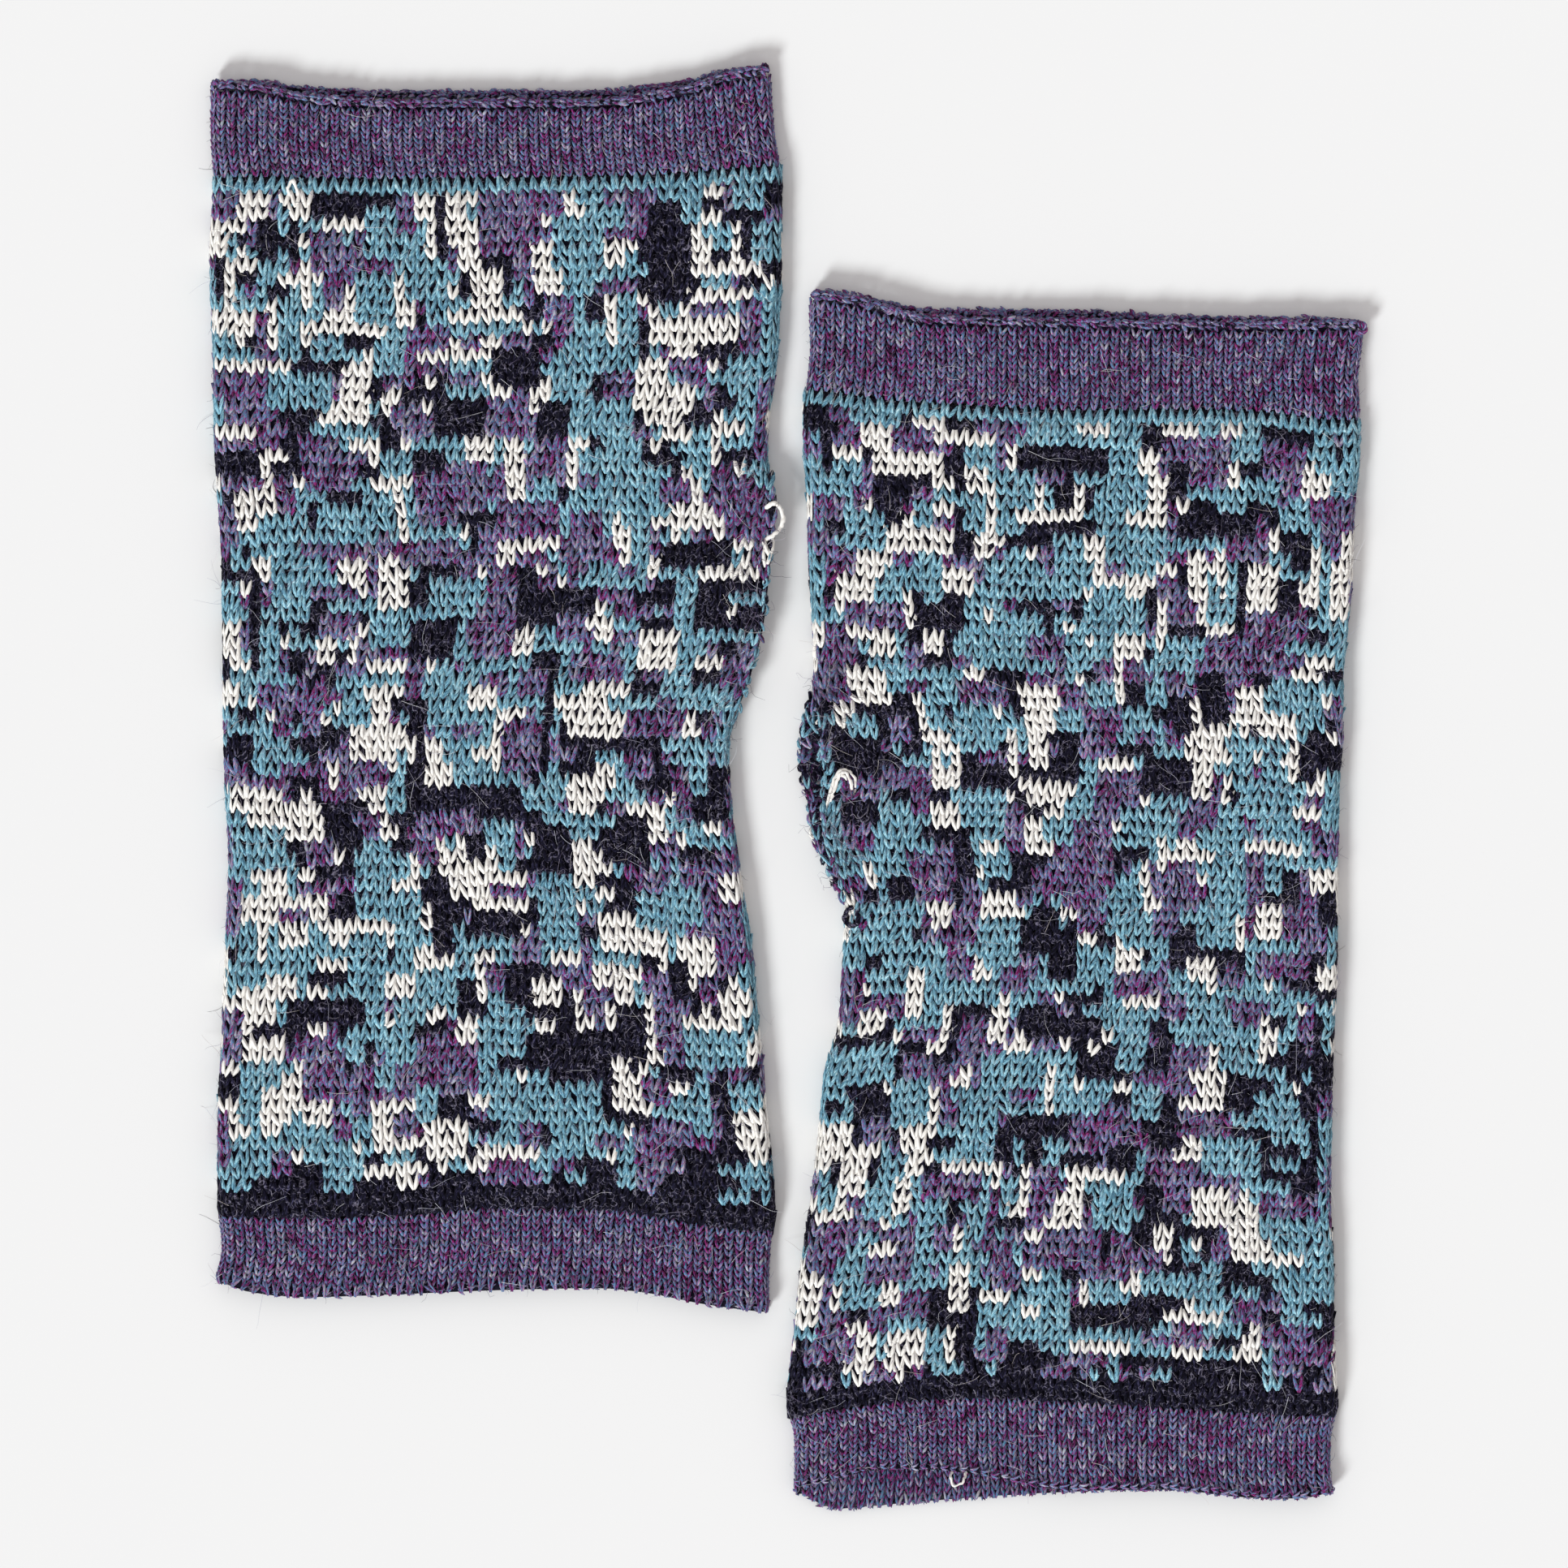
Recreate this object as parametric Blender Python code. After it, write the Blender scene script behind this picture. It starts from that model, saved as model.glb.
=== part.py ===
"""A pair of fingerless knitted mittens, laid flat side by side.

Each mitten is one knitted panel. It is folded round at its outer side and sewn up at the side of
the thumb, where a slit is left open. X runs across the pair, Y from the forearm ends to the
finger ends, and Z up from the surface that the pair lies on, all from the middle of the pair.
Sizes are in millimetres, and become metres where an object is made.
"""

import math
from collections import namedtuple

import bmesh
import bpy
import numpy as np

MM = 0.001

# Cloth
JACQUARD_WALL = 1.8
JERSEY_WALL = 1.3
HOLLOW = 0.8
SEAM_GAP = 0.3
WALL_RAMP = 6.0
RIM_DIAMETER = 1.6

# Thumb slit and rolled edges
SLIT_RAMP = 5.0
SLIT_ROLL = 0.6
SLIT_ROLL_REACH = 3.5
ARM_ROLL = 0.5
ARM_ROLL_REACH = 2.5

# How finely the walls are divided
BODY_STEP = 7.0
SLIT_STEP = 4.2
CUFF_STEP = 5.0
FLAT_PARTS = 10
FOLD_PARTS = 6
CURL_PARTS = 3
RIM_BEVEL_RESOLUTION = 2
FLAT_BEND = 0.001

# Outline of each mitten from above, a row for each height: the folded side, and the thumb side
# of the front layer and of the back layer
Side = namedtuple("Side", "y fold thumb_front thumb_back")
LEFT_SIDES = (
    Side(-94.0, -101.7, -3.2, -3.2),
    Side(-88.0, -102.0, -3.4, -3.4),
    Side(-82.0, -100.9, -3.1, -3.1),
    Side(-76.0, -101.4, -2.4, -2.4),
    Side(-60.0, -101.6, -3.6, -3.6),
    Side(-45.0, -100.9, -5.0, -5.0),
    Side(-27.0, -100.1, -6.7, -6.7),
    Side(-14.0, -99.6, -8.7, -8.7),
    Side(0.0, -100.2, -10.3, -10.3),
    Side(8.0, -100.5, -10.5, -10.7),
    Side(14.0, -100.6, -8.6, -9.8),
    Side(22.0, -100.7, -6.0, -7.6),
    Side(30.0, -100.8, -4.1, -5.6),
    Side(38.0, -100.9, -3.3, -4.8),
    Side(46.0, -101.2, -2.5, -4.2),
    Side(53.0, -101.6, -2.7, -3.6),
    Side(59.0, -102.0, -3.8, -3.8),
    Side(65.0, -102.2, -3.5, -3.5),
    Side(78.0, -102.4, -1.9, -1.9),
    Side(95.0, -102.9, -1.2, -1.2),
    Side(108.0, -102.4, -1.2, -1.2),
    Side(118.0, -102.9, -2.5, -2.5),
    Side(129.0, -102.8, -3.2, -3.2),
)
RIGHT_SIDES = (
    Side(-129.0, 98.3, 0.9, 0.9),
    Side(-121.0, 96.8, 1.3, 1.3),
    Side(-116.0, 96.9, 1.2, 1.2),
    Side(-110.0, 97.9, 0.0, 0.0),
    Side(-98.0, 97.4, 1.2, 1.2),
    Side(-86.0, 97.3, 2.4, 2.4),
    Side(-72.0, 96.7, 4.4, 4.4),
    Side(-60.0, 96.9, 5.8, 5.8),
    Side(-51.0, 97.1, 6.6, 6.6),
    Side(-43.0, 97.4, 9.0, 9.0),
    Side(-33.0, 97.9, 9.8, 9.8),
    Side(-22.0, 98.0, 10.4, 10.2),
    Side(-17.0, 98.0, 9.2, 8.4),
    Side(-12.0, 98.1, 7.6, 6.2),
    Side(-8.0, 98.2, 6.4, 4.3),
    Side(-3.0, 98.2, 6.0, 3.7),
    Side(3.0, 98.4, 6.4, 2.4),
    Side(9.0, 99.0, 6.2, 2.3),
    Side(14.0, 99.0, 5.4, 3.6),
    Side(19.0, 98.9, 4.9, 4.7),
    Side(25.0, 99.5, 4.7, 4.7),
    Side(36.0, 100.5, 4.1, 4.1),
    Side(50.0, 101.0, 3.6, 3.6),
    Side(60.0, 102.0, 3.0, 3.0),
    Side(69.0, 102.0, 2.9, 2.9),
    Side(73.0, 101.7, 3.6, 3.6),
    Side(79.0, 102.4, 4.1, 4.1),
    Side(84.0, 102.7, 3.9, 3.9),
    Side(89.0, 102.9, 4.0, 4.0),
)

# Heights of the ends and of the two cuff seams, a row for each place across a mitten, from its
# folded side at 0 to its thumb side at 1
End = namedtuple("End", "across hand_front hand_back hand_seam arm_seam arm_front arm_back")
LEFT_ENDS = (
    End(0.00, 126.0, 126.1, 108.9, -76.3, -88.4, -88.3),
    End(0.06, 125.7, 126.4, 109.0, -76.5, -90.2, -89.6),
    End(0.15, 123.9, 125.2, 108.8, -76.6, -90.8, -90.3),
    End(0.30, 122.7, 124.5, 108.6, -76.3, -90.4, -90.0),
    End(0.50, 122.7, 124.5, 108.8, -74.9, -89.6, -89.3),
    End(0.70, 122.9, 124.6, 109.1, -75.1, -89.2, -88.9),
    End(0.80, 124.1, 125.4, 109.4, -76.4, -90.2, -89.8),
    End(0.88, 125.6, 126.6, 110.0, -77.8, -91.8, -91.2),
    End(0.95, 127.9, 128.5, 110.7, -78.6, -92.8, -92.4),
    End(1.00, 128.6, 128.8, 110.9, -78.8, -93.4, -93.2),
)
RIGHT_ENDS = (
    End(0.00, 83.4, 83.5, 65.7, -111.8, -125.8, -125.8),
    End(0.05, 83.3, 83.9, 65.8, -111.8, -126.7, -126.8),
    End(0.15, 83.2, 84.1, 67.0, -111.3, -126.5, -126.6),
    End(0.30, 83.2, 84.2, 67.5, -110.4, -125.1, -125.2),
    End(0.50, 83.7, 85.2, 67.4, -109.3, -125.2, -125.7),
    End(0.65, 83.9, 85.4, 67.9, -108.7, -122.6, -126.5),
    End(0.80, 84.3, 85.5, 68.8, -109.2, -121.3, -127.6),
    End(0.88, 86.2, 87.0, 69.4, -110.2, -121.8, -128.3),
    End(0.94, 87.8, 88.4, 70.3, -110.9, -123.3, -128.7),
    End(1.00, 88.6, 88.9, 71.0, -112.1, -124.5, -126.0),
)

# The thumb side is at +X on the left mitten and at -X on the right one
Mitten = namedtuple("Mitten", "name thumb_way sides ends slit_low slit_high place")
LEFT = Mitten("left", 1, LEFT_SIDES, LEFT_ENDS, 12.0, 58.0, (-52.0, 17.7))
RIGHT = Mitten("right", -1, RIGHT_SIDES, RIGHT_ENDS, -24.0, 19.0, (50.9, -19.9))

# A place on a wall's section: on the back or front layer, or in the turn at a side
Station = namedtuple("Station", "part across turn")
Piece = namedtuple("Piece", "name low high wall_at_ends wall step material")

HEATHER = ("purple_heather_yarn", (0.105, 0.068, 0.135))
MOSAIC = ("four_colour_jacquard", (0.13, 0.21, 0.26))
YARN_ROUGHNESS = 0.9


def clear_scene():
    for obj in list(bpy.data.objects):
        bpy.data.objects.remove(obj, do_unlink=True)


def yarn_material(name, colour):
    material = bpy.data.materials.get(name) or bpy.data.materials.new(name)
    material.use_nodes = True
    shader = material.node_tree.nodes["Principled BSDF"]
    shader.inputs["Base Color"].default_value = (*colour, 1.0)
    shader.inputs["Roughness"].default_value = YARN_ROUGHNESS
    shader.inputs["Metallic"].default_value = 0.0
    return material


def blend(low, high, share):
    return low + (high - low) * share


def soft_step(value):
    value = min(max(value, 0.0), 1.0)
    return value * value * (3 - 2 * value)


def bell(distance, reach):
    return math.exp(-((distance / reach) ** 2))


def curve_of(rows, by, column):
    """A table's column as a smooth curve that passes its rows and never swings beyond them."""
    places = np.array([getattr(row, by) for row in rows])
    values = np.array([getattr(row, column) for row in rows])
    steps = np.diff(places)
    slopes = np.diff(values) / steps
    before, after = slopes[:-1], slopes[1:]
    one_way = before * after > 0
    middle = np.zeros(len(before))
    middle[one_way] = 2 * before[one_way] * after[one_way] / (before + after)[one_way]
    tangents = np.concatenate(([slopes[0]], middle, [slopes[-1]]))

    def at(place):
        place = min(max(place, places[0]), places[-1])
        i = min(max(int(np.searchsorted(places, place)) - 1, 0), len(steps) - 1)
        s = (place - places[i]) / steps[i]
        ends = blend(values[i], values[i + 1], s * s * (3 - 2 * s))
        leaving = tangents[i] * s * (1 - s) ** 2
        arriving = tangents[i + 1] * s * s * (1 - s)
        return float(ends + steps[i] * (leaving - arriving))

    return at


def side_curves(mitten):
    """The folded side and both thumb sides by height, counted towards the thumb."""
    curves = {column: curve_of(mitten.sides, "y", column) for column in Side._fields[1:]}
    return {
        column: (lambda y, line=line: mitten.thumb_way * line(y)) for column, line in curves.items()
    }


def end_curves(mitten):
    return {column: curve_of(mitten.ends, "across", column) for column in End._fields[1:]}


def slit_opening(mitten, y):
    """0 where the selvages are sewn, 1 in the open slit."""
    return soft_step((y - mitten.slit_low) / SLIT_RAMP) * soft_step((mitten.slit_high - y) / SLIT_RAMP)


def stations():
    """Places round a section: thumb side, back layer, folded side, front layer, thumb side."""
    curl = [i / CURL_PARTS for i in range(1, CURL_PARTS + 1)]
    flat = [i / FLAT_PARTS for i in range(FLAT_PARTS + 1)]
    fold = [2 * i / FOLD_PARTS - 1 for i in range(1, FOLD_PARTS)]
    return (
        [Station("back", 1.0, turn) for turn in reversed(curl)]
        + [Station("back", across, 0.0) for across in reversed(flat)]
        + [Station("fold", 0.0, turn) for turn in fold]
        + [Station("front", across, 0.0) for across in flat]
        + [Station("front", 1.0, turn) for turn in curl]
    )


def front_share(station):
    """0 on the back layer, 1 on the front layer, and between them in the fold."""
    if station.part == "fold":
        return (1 + math.sin(station.turn * math.pi / 2)) / 2
    return 1.0 if station.part == "front" else 0.0


def bent(radius, closed, turn):
    """A selvage's way outwards and inwards, and its angle, as it curls towards the seam."""
    bend = max(closed, FLAT_BEND)
    angle = bend * turn * math.pi / 2
    return radius * math.sin(angle) / bend, radius * (1 - math.cos(angle)) / bend, angle


def wall_line(mitten, sides, y, wall, station):
    """Middle of the wall at a station, as (towards the thumb, height), and its outward normal."""
    thick = 2 * wall + HOLLOW
    radius = (wall + HOLLOW) / 2
    folded = sides["fold"](y) + thick / 2
    if station.part == "fold":
        angle = station.turn * math.pi / 2
        out = (-math.cos(angle), math.sin(angle))
        return folded + radius * out[0], thick / 2 + radius * out[1], out
    opening = slit_opening(mitten, y)
    selvage = sides["thumb_" + station.part](y)
    widest, _, steepest = bent(radius, 1 - opening, 1.0)
    flat_end = selvage - widest - wall / 2 * math.sin(steepest)
    outwards, inwards, angle = bent(radius, 1 - opening, station.turn)
    along = blend(folded, flat_end, station.across) + outwards
    if station.part == "back":
        return along, wall / 2 + inwards, (math.sin(angle), -math.cos(angle))
    roll = SLIT_ROLL * opening * bell(selvage - along, SLIT_ROLL_REACH)
    return along, thick - wall / 2 + roll - inwards, (math.sin(angle), math.cos(angle))


def clear_of_seam(z, wall, station):
    """Keeps the two selvages a seam's gap apart."""
    middle = wall + HOLLOW / 2
    if station.part == "back":
        return min(z, middle - SEAM_GAP / 2)
    if station.part == "front":
        return max(z, middle + SEAM_GAP / 2)
    return z


def wall_thickness(piece, from_end):
    return blend(piece.wall_at_ends, piece.wall, soft_step(from_end / WALL_RAMP))


def wall_points(mitten, sides, piece, share, station):
    """Outer and inner point of a piece's wall, share of the way from its low end to its high one."""
    front = front_share(station)
    low = piece.low(station.across, front)
    high = piece.high(station.across, front)
    y = blend(low, high, share)
    wall = wall_thickness(piece, min(y - low, high - y))
    along, z, out = wall_line(mitten, sides, y, wall, station)
    if piece.name == "arm_cuff":
        z += front * ARM_ROLL * bell(y - low, ARM_ROLL_REACH)
    points = []
    for offset in (wall / 2, -wall / 2):
        x = mitten.thumb_way * (along + offset * out[0])
        height = clear_of_seam(z + offset * out[1], wall, station)
        points.append((x, y, height))
    return points


def even_heights(low, high, step):
    """Heights from low to high, both included, about a step apart."""
    count = max(1, round((high - low) / step))
    return [blend(low, high, i / count) for i in range(count + 1)]


def row_shares(mitten, piece):
    """Where a piece's rows of points lie, as shares of its length: closer along the slit."""
    low, high = piece.low(1.0, 1.0), piece.high(1.0, 1.0)
    if piece.name != "body":
        heights = even_heights(low, high, piece.step)
    else:
        ramp = WALL_RAMP / 2
        heights = (
            [low, low + ramp]
            + even_heights(low + 2 * ramp, mitten.slit_low, piece.step)
            + even_heights(mitten.slit_low, mitten.slit_high, SLIT_STEP)[1:]
            + even_heights(mitten.slit_high, high - 2 * ramp, piece.step)[1:]
            + [high - ramp, high]
        )
    return [(height - low) / (high - low) for height in heights]


def add_quads(bm, rows, flip):
    for near, far in zip(rows, rows[1:]):
        for i in range(len(near) - 1):
            corners = (near[i], near[i + 1], far[i + 1], far[i])
            bm.faces.new(reversed(corners) if flip else corners)


def closed_wall(outer, inner):
    """A sheet of cloth: its outer points, its inner points, and the four edges between them."""
    bm = bmesh.new()
    outside = [[bm.verts.new(point) for point in row] for row in outer]
    inside = [[bm.verts.new(point) for point in row] for row in inner]
    add_quads(bm, outside, False)
    add_quads(bm, inside, True)
    add_quads(bm, (inside[0], outside[0]), False)
    add_quads(bm, (outside[-1], inside[-1]), False)
    first = [[row[0] for row in layer] for layer in (outside, inside)]
    last = [[row[-1] for row in layer] for layer in (inside, outside)]
    add_quads(bm, first, False)
    add_quads(bm, last, False)
    bmesh.ops.recalc_face_normals(bm, faces=bm.faces)
    return bm


def in_metres(point, place):
    x, y, z = point
    return ((x - place[0]) * MM, (y - place[1]) * MM, z * MM)


def place_object(name, data, mitten, holder, material):
    data.materials.append(yarn_material(*material))
    obj = bpy.data.objects.new(f"{mitten.name}_{name}", data)
    bpy.context.scene.collection.objects.link(obj)
    obj.parent = holder
    return obj


def make_cloth(mitten, sides, piece, holder):
    """A folded piece of cloth as one closed wall."""
    ring = stations()
    grid = [
        [wall_points(mitten, sides, piece, share, station) for station in ring]
        for share in row_shares(mitten, piece)
    ]
    layers = [[[in_metres(pair[side], mitten.place) for pair in row] for row in grid] for side in (0, 1)]
    bm = closed_wall(*layers)
    mesh = bpy.data.meshes.new(f"{mitten.name}_{piece.name}")
    bm.to_mesh(mesh)
    bm.free()
    mesh.shade_smooth()
    return place_object(piece.name, mesh, mitten, holder, piece.material)


def make_rim(mitten, sides, edge, holder):
    """The bound-off chain, a round roll along the end of both layers of the hand cuff."""
    curve = bpy.data.curves.new(f"{mitten.name}_hand_rim", "CURVE")
    curve.dimensions = "3D"
    curve.bevel_depth = RIM_DIAMETER / 2 * MM
    curve.bevel_resolution = RIM_BEVEL_RESOLUTION
    curve.use_fill_caps = True
    points = []
    for station in stations():
        y = edge(station.across, front_share(station)) - RIM_DIAMETER / 2
        along, z, _ = wall_line(mitten, sides, y, RIM_DIAMETER, station)
        points.append((mitten.thumb_way * along, y, clear_of_seam(z, RIM_DIAMETER, station)))
    spline = curve.splines.new("POLY")
    spline.points.add(len(points) - 1)
    for slot, point in zip(spline.points, points):
        slot.co = (*in_metres(point, mitten.place), 1.0)
    return place_object("hand_rim", curve, mitten, holder, HEATHER)


def mitten_pieces(ends):
    """The cloth pieces, each between two lines across the mitten."""

    def line(column, shift):
        return lambda across, front: ends[column](across) + shift

    def edge(name, shift):
        front_line, back_line = ends[name + "_front"], ends[name + "_back"]
        return lambda across, front: blend(back_line(across), front_line(across), front) + shift

    half_gap = SEAM_GAP / 2
    below_rim = -(RIM_DIAMETER + SEAM_GAP)
    body = Piece(
        "body",
        line("arm_seam", half_gap),
        line("hand_seam", -half_gap),
        JERSEY_WALL,
        JACQUARD_WALL,
        BODY_STEP,
        MOSAIC,
    )
    arm_cuff = Piece(
        "arm_cuff",
        edge("arm", 0.0),
        line("arm_seam", -half_gap),
        JERSEY_WALL,
        JERSEY_WALL,
        CUFF_STEP,
        HEATHER,
    )
    hand_cuff = Piece(
        "hand_cuff",
        line("hand_seam", half_gap),
        edge("hand", below_rim),
        JERSEY_WALL,
        JERSEY_WALL,
        CUFF_STEP,
        HEATHER,
    )
    return (body, arm_cuff, hand_cuff), edge("hand", 0.0)


def make_mitten(mitten):
    holder = bpy.data.objects.new(f"{mitten.name}_mitten", None)
    bpy.context.scene.collection.objects.link(holder)
    holder.location = (mitten.place[0] * MM, mitten.place[1] * MM, 0.0)
    sides = side_curves(mitten)
    pieces, hand_edge = mitten_pieces(end_curves(mitten))
    for piece in pieces:
        make_cloth(mitten, sides, piece, holder)
    make_rim(mitten, sides, hand_edge, holder)


def main():
    clear_scene()
    for mitten in (LEFT, RIGHT):
        make_mitten(mitten)


main()
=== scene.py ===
"""Looks of a pair of fingerless knitted mittens, laid flat side by side.

Every piece of cloth is a thin shell on the form of its solid, dark as the floats behind the jacquard and
as painted shade between the stitches, and the yarn lies on it: a V for each stitch, a chain for the
bound-off rim and for the cast-on edge, loops at the open slit, and stray fibres. X runs across the pair,
Y from the forearm ends to the finger ends and Z up, all from the middle of the pair. Sizes are in
millimetres, and become metres where a mesh is made.
"""

import math
from collections import namedtuple

import bmesh
import bpy
import numpy as np
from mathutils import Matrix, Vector

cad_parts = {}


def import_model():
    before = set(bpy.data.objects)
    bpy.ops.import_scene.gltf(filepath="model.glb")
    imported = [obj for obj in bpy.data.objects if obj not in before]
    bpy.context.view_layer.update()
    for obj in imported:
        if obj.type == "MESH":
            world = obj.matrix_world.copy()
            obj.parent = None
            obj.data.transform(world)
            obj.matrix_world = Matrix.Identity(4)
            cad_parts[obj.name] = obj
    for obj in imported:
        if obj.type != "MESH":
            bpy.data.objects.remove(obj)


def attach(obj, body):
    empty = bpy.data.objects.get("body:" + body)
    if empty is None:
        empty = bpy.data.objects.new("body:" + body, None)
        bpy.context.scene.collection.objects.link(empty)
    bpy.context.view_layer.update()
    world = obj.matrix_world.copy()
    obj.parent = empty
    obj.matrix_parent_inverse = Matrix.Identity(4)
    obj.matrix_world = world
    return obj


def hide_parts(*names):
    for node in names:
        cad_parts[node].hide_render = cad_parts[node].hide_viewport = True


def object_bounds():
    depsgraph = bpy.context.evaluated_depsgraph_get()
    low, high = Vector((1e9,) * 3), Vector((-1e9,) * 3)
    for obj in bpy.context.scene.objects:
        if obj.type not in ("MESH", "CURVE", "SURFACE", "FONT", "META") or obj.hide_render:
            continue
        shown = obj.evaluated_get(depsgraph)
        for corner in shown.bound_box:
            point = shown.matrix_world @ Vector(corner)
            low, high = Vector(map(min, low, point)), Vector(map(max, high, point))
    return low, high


MM = 0.001

# Cloth of the solids
JACQUARD_WALL = 1.8
JERSEY_WALL = 1.3
HOLLOW = 0.8
SEAM_GAP = 0.3
WALL_RAMP = 6.0
RIM_DIAMETER = 1.6
SLIT_RAMP = 5.0
SLIT_ROLL = 0.6
SLIT_ROLL_REACH = 3.5
ARM_ROLL = 0.5
ARM_ROLL_REACH = 2.5
FLAT_BEND = 0.001

# Outline of each mitten from above, a row for each height: the folded side, and the thumb side
# of the front layer and of the back layer
Side = namedtuple("Side", "y fold thumb_front thumb_back")
LEFT_SIDES = (
    Side(-94.0, -101.7, -3.2, -3.2),
    Side(-88.0, -102.0, -3.4, -3.4),
    Side(-82.0, -100.9, -3.1, -3.1),
    Side(-76.0, -101.4, -2.4, -2.4),
    Side(-60.0, -101.6, -3.6, -3.6),
    Side(-45.0, -100.9, -5.0, -5.0),
    Side(-27.0, -100.1, -6.7, -6.7),
    Side(-14.0, -99.6, -8.7, -8.7),
    Side(0.0, -100.2, -10.3, -10.3),
    Side(8.0, -100.5, -10.5, -10.7),
    Side(14.0, -100.6, -8.6, -9.8),
    Side(22.0, -100.7, -6.0, -7.6),
    Side(30.0, -100.8, -4.1, -5.6),
    Side(38.0, -100.9, -3.3, -4.8),
    Side(46.0, -101.2, -2.5, -4.2),
    Side(53.0, -101.6, -2.7, -3.6),
    Side(59.0, -102.0, -3.8, -3.8),
    Side(65.0, -102.2, -3.5, -3.5),
    Side(78.0, -102.4, -1.9, -1.9),
    Side(95.0, -102.9, -1.2, -1.2),
    Side(108.0, -102.4, -1.2, -1.2),
    Side(118.0, -102.9, -2.5, -2.5),
    Side(129.0, -102.8, -3.2, -3.2),
)
RIGHT_SIDES = (
    Side(-129.0, 98.3, 0.9, 0.9),
    Side(-121.0, 96.8, 1.3, 1.3),
    Side(-116.0, 96.9, 1.2, 1.2),
    Side(-110.0, 97.9, 0.0, 0.0),
    Side(-98.0, 97.4, 1.2, 1.2),
    Side(-86.0, 97.3, 2.4, 2.4),
    Side(-72.0, 96.7, 4.4, 4.4),
    Side(-60.0, 96.9, 5.8, 5.8),
    Side(-51.0, 97.1, 6.6, 6.6),
    Side(-43.0, 97.4, 9.0, 9.0),
    Side(-33.0, 97.9, 9.8, 9.8),
    Side(-22.0, 98.0, 10.4, 10.2),
    Side(-17.0, 98.0, 9.2, 8.4),
    Side(-12.0, 98.1, 7.6, 6.2),
    Side(-8.0, 98.2, 6.4, 4.3),
    Side(-3.0, 98.2, 6.0, 3.7),
    Side(3.0, 98.4, 6.4, 2.4),
    Side(9.0, 99.0, 6.2, 2.3),
    Side(14.0, 99.0, 5.4, 3.6),
    Side(19.0, 98.9, 4.9, 4.7),
    Side(25.0, 99.5, 4.7, 4.7),
    Side(36.0, 100.5, 4.1, 4.1),
    Side(50.0, 101.0, 3.6, 3.6),
    Side(60.0, 102.0, 3.0, 3.0),
    Side(69.0, 102.0, 2.9, 2.9),
    Side(73.0, 101.7, 3.6, 3.6),
    Side(79.0, 102.4, 4.1, 4.1),
    Side(84.0, 102.7, 3.9, 3.9),
    Side(89.0, 102.9, 4.0, 4.0),
)

# Heights of the ends and of the two cuff seams, a row for each place across a mitten, from its
# folded side at 0 to its thumb side at 1
End = namedtuple("End", "across hand_front hand_back hand_seam arm_seam arm_front arm_back")
LEFT_ENDS = (
    End(0.00, 126.0, 126.1, 108.9, -76.3, -88.4, -88.3),
    End(0.06, 125.7, 126.4, 109.0, -76.5, -90.2, -89.6),
    End(0.15, 123.9, 125.2, 108.8, -76.6, -90.8, -90.3),
    End(0.30, 122.7, 124.5, 108.6, -76.3, -90.4, -90.0),
    End(0.50, 122.7, 124.5, 108.8, -74.9, -89.6, -89.3),
    End(0.70, 122.9, 124.6, 109.1, -75.1, -89.2, -88.9),
    End(0.80, 124.1, 125.4, 109.4, -76.4, -90.2, -89.8),
    End(0.88, 125.6, 126.6, 110.0, -77.8, -91.8, -91.2),
    End(0.95, 127.9, 128.5, 110.7, -78.6, -92.8, -92.4),
    End(1.00, 128.6, 128.8, 110.9, -78.8, -93.4, -93.2),
)
RIGHT_ENDS = (
    End(0.00, 83.4, 83.5, 65.7, -111.8, -125.8, -125.8),
    End(0.05, 83.3, 83.9, 65.8, -111.8, -126.7, -126.8),
    End(0.15, 83.2, 84.1, 67.0, -111.3, -126.5, -126.6),
    End(0.30, 83.2, 84.2, 67.5, -110.4, -125.1, -125.2),
    End(0.50, 83.7, 85.2, 67.4, -109.3, -125.2, -125.7),
    End(0.65, 83.9, 85.4, 67.9, -108.7, -122.6, -126.5),
    End(0.80, 84.3, 85.5, 68.8, -109.2, -121.3, -127.6),
    End(0.88, 86.2, 87.0, 69.4, -110.2, -121.8, -128.3),
    End(0.94, 87.8, 88.4, 70.3, -110.9, -123.3, -128.7),
    End(1.00, 88.6, 88.9, 71.0, -112.1, -124.5, -126.0),
)

# The thumb side is at +X on the left mitten and at -X on the right one
Mitten = namedtuple("Mitten", "name thumb_way sides ends slit_low slit_high seed")
LEFT = Mitten("left", 1, LEFT_SIDES, LEFT_ENDS, 12.0, 58.0, 11)
RIGHT = Mitten("right", -1, RIGHT_SIDES, RIGHT_ENDS, -24.0, 19.0, 23)

# Soft creases in the front layer, as ridges and troughs that die away along and across
Crease = namedtuple("Crease", "mitten x y turn length width height")
CREASES = (
    Crease("left", -28.0, 66.0, 68.0, 30.0, 7.0, 0.32),
    Crease("left", -76.0, 22.0, 84.0, 46.0, 9.0, 0.22),
    Crease("left", -50.0, -40.0, 12.0, 38.0, 8.0, -0.20),
    Crease("left", -22.0, -6.0, 46.0, 22.0, 6.0, 0.28),
    Crease("left", -66.0, 92.0, 6.0, 26.0, 10.0, -0.16),
    Crease("right", 26.0, 22.0, 118.0, 28.0, 6.0, 0.30),
    Crease("right", 72.0, -30.0, 95.0, 44.0, 10.0, 0.20),
    Crease("right", 48.0, -78.0, 172.0, 34.0, 8.0, -0.22),
    Crease("right", 84.0, 44.0, 80.0, 24.0, 7.0, 0.24),
)

# How finely the cloth's form is read, and how finely its shell is divided
Fineness = namedtuple("Fineness", "rows flat fold curl")
READ_FORM = Fineness(120, 60, 16, 6)
BODY_SHELL = Fineness(48, 26, 10, 3)
CUFF_SHELL = Fineness(9, 26, 10, 3)
AROUND_STEPS = 440

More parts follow.
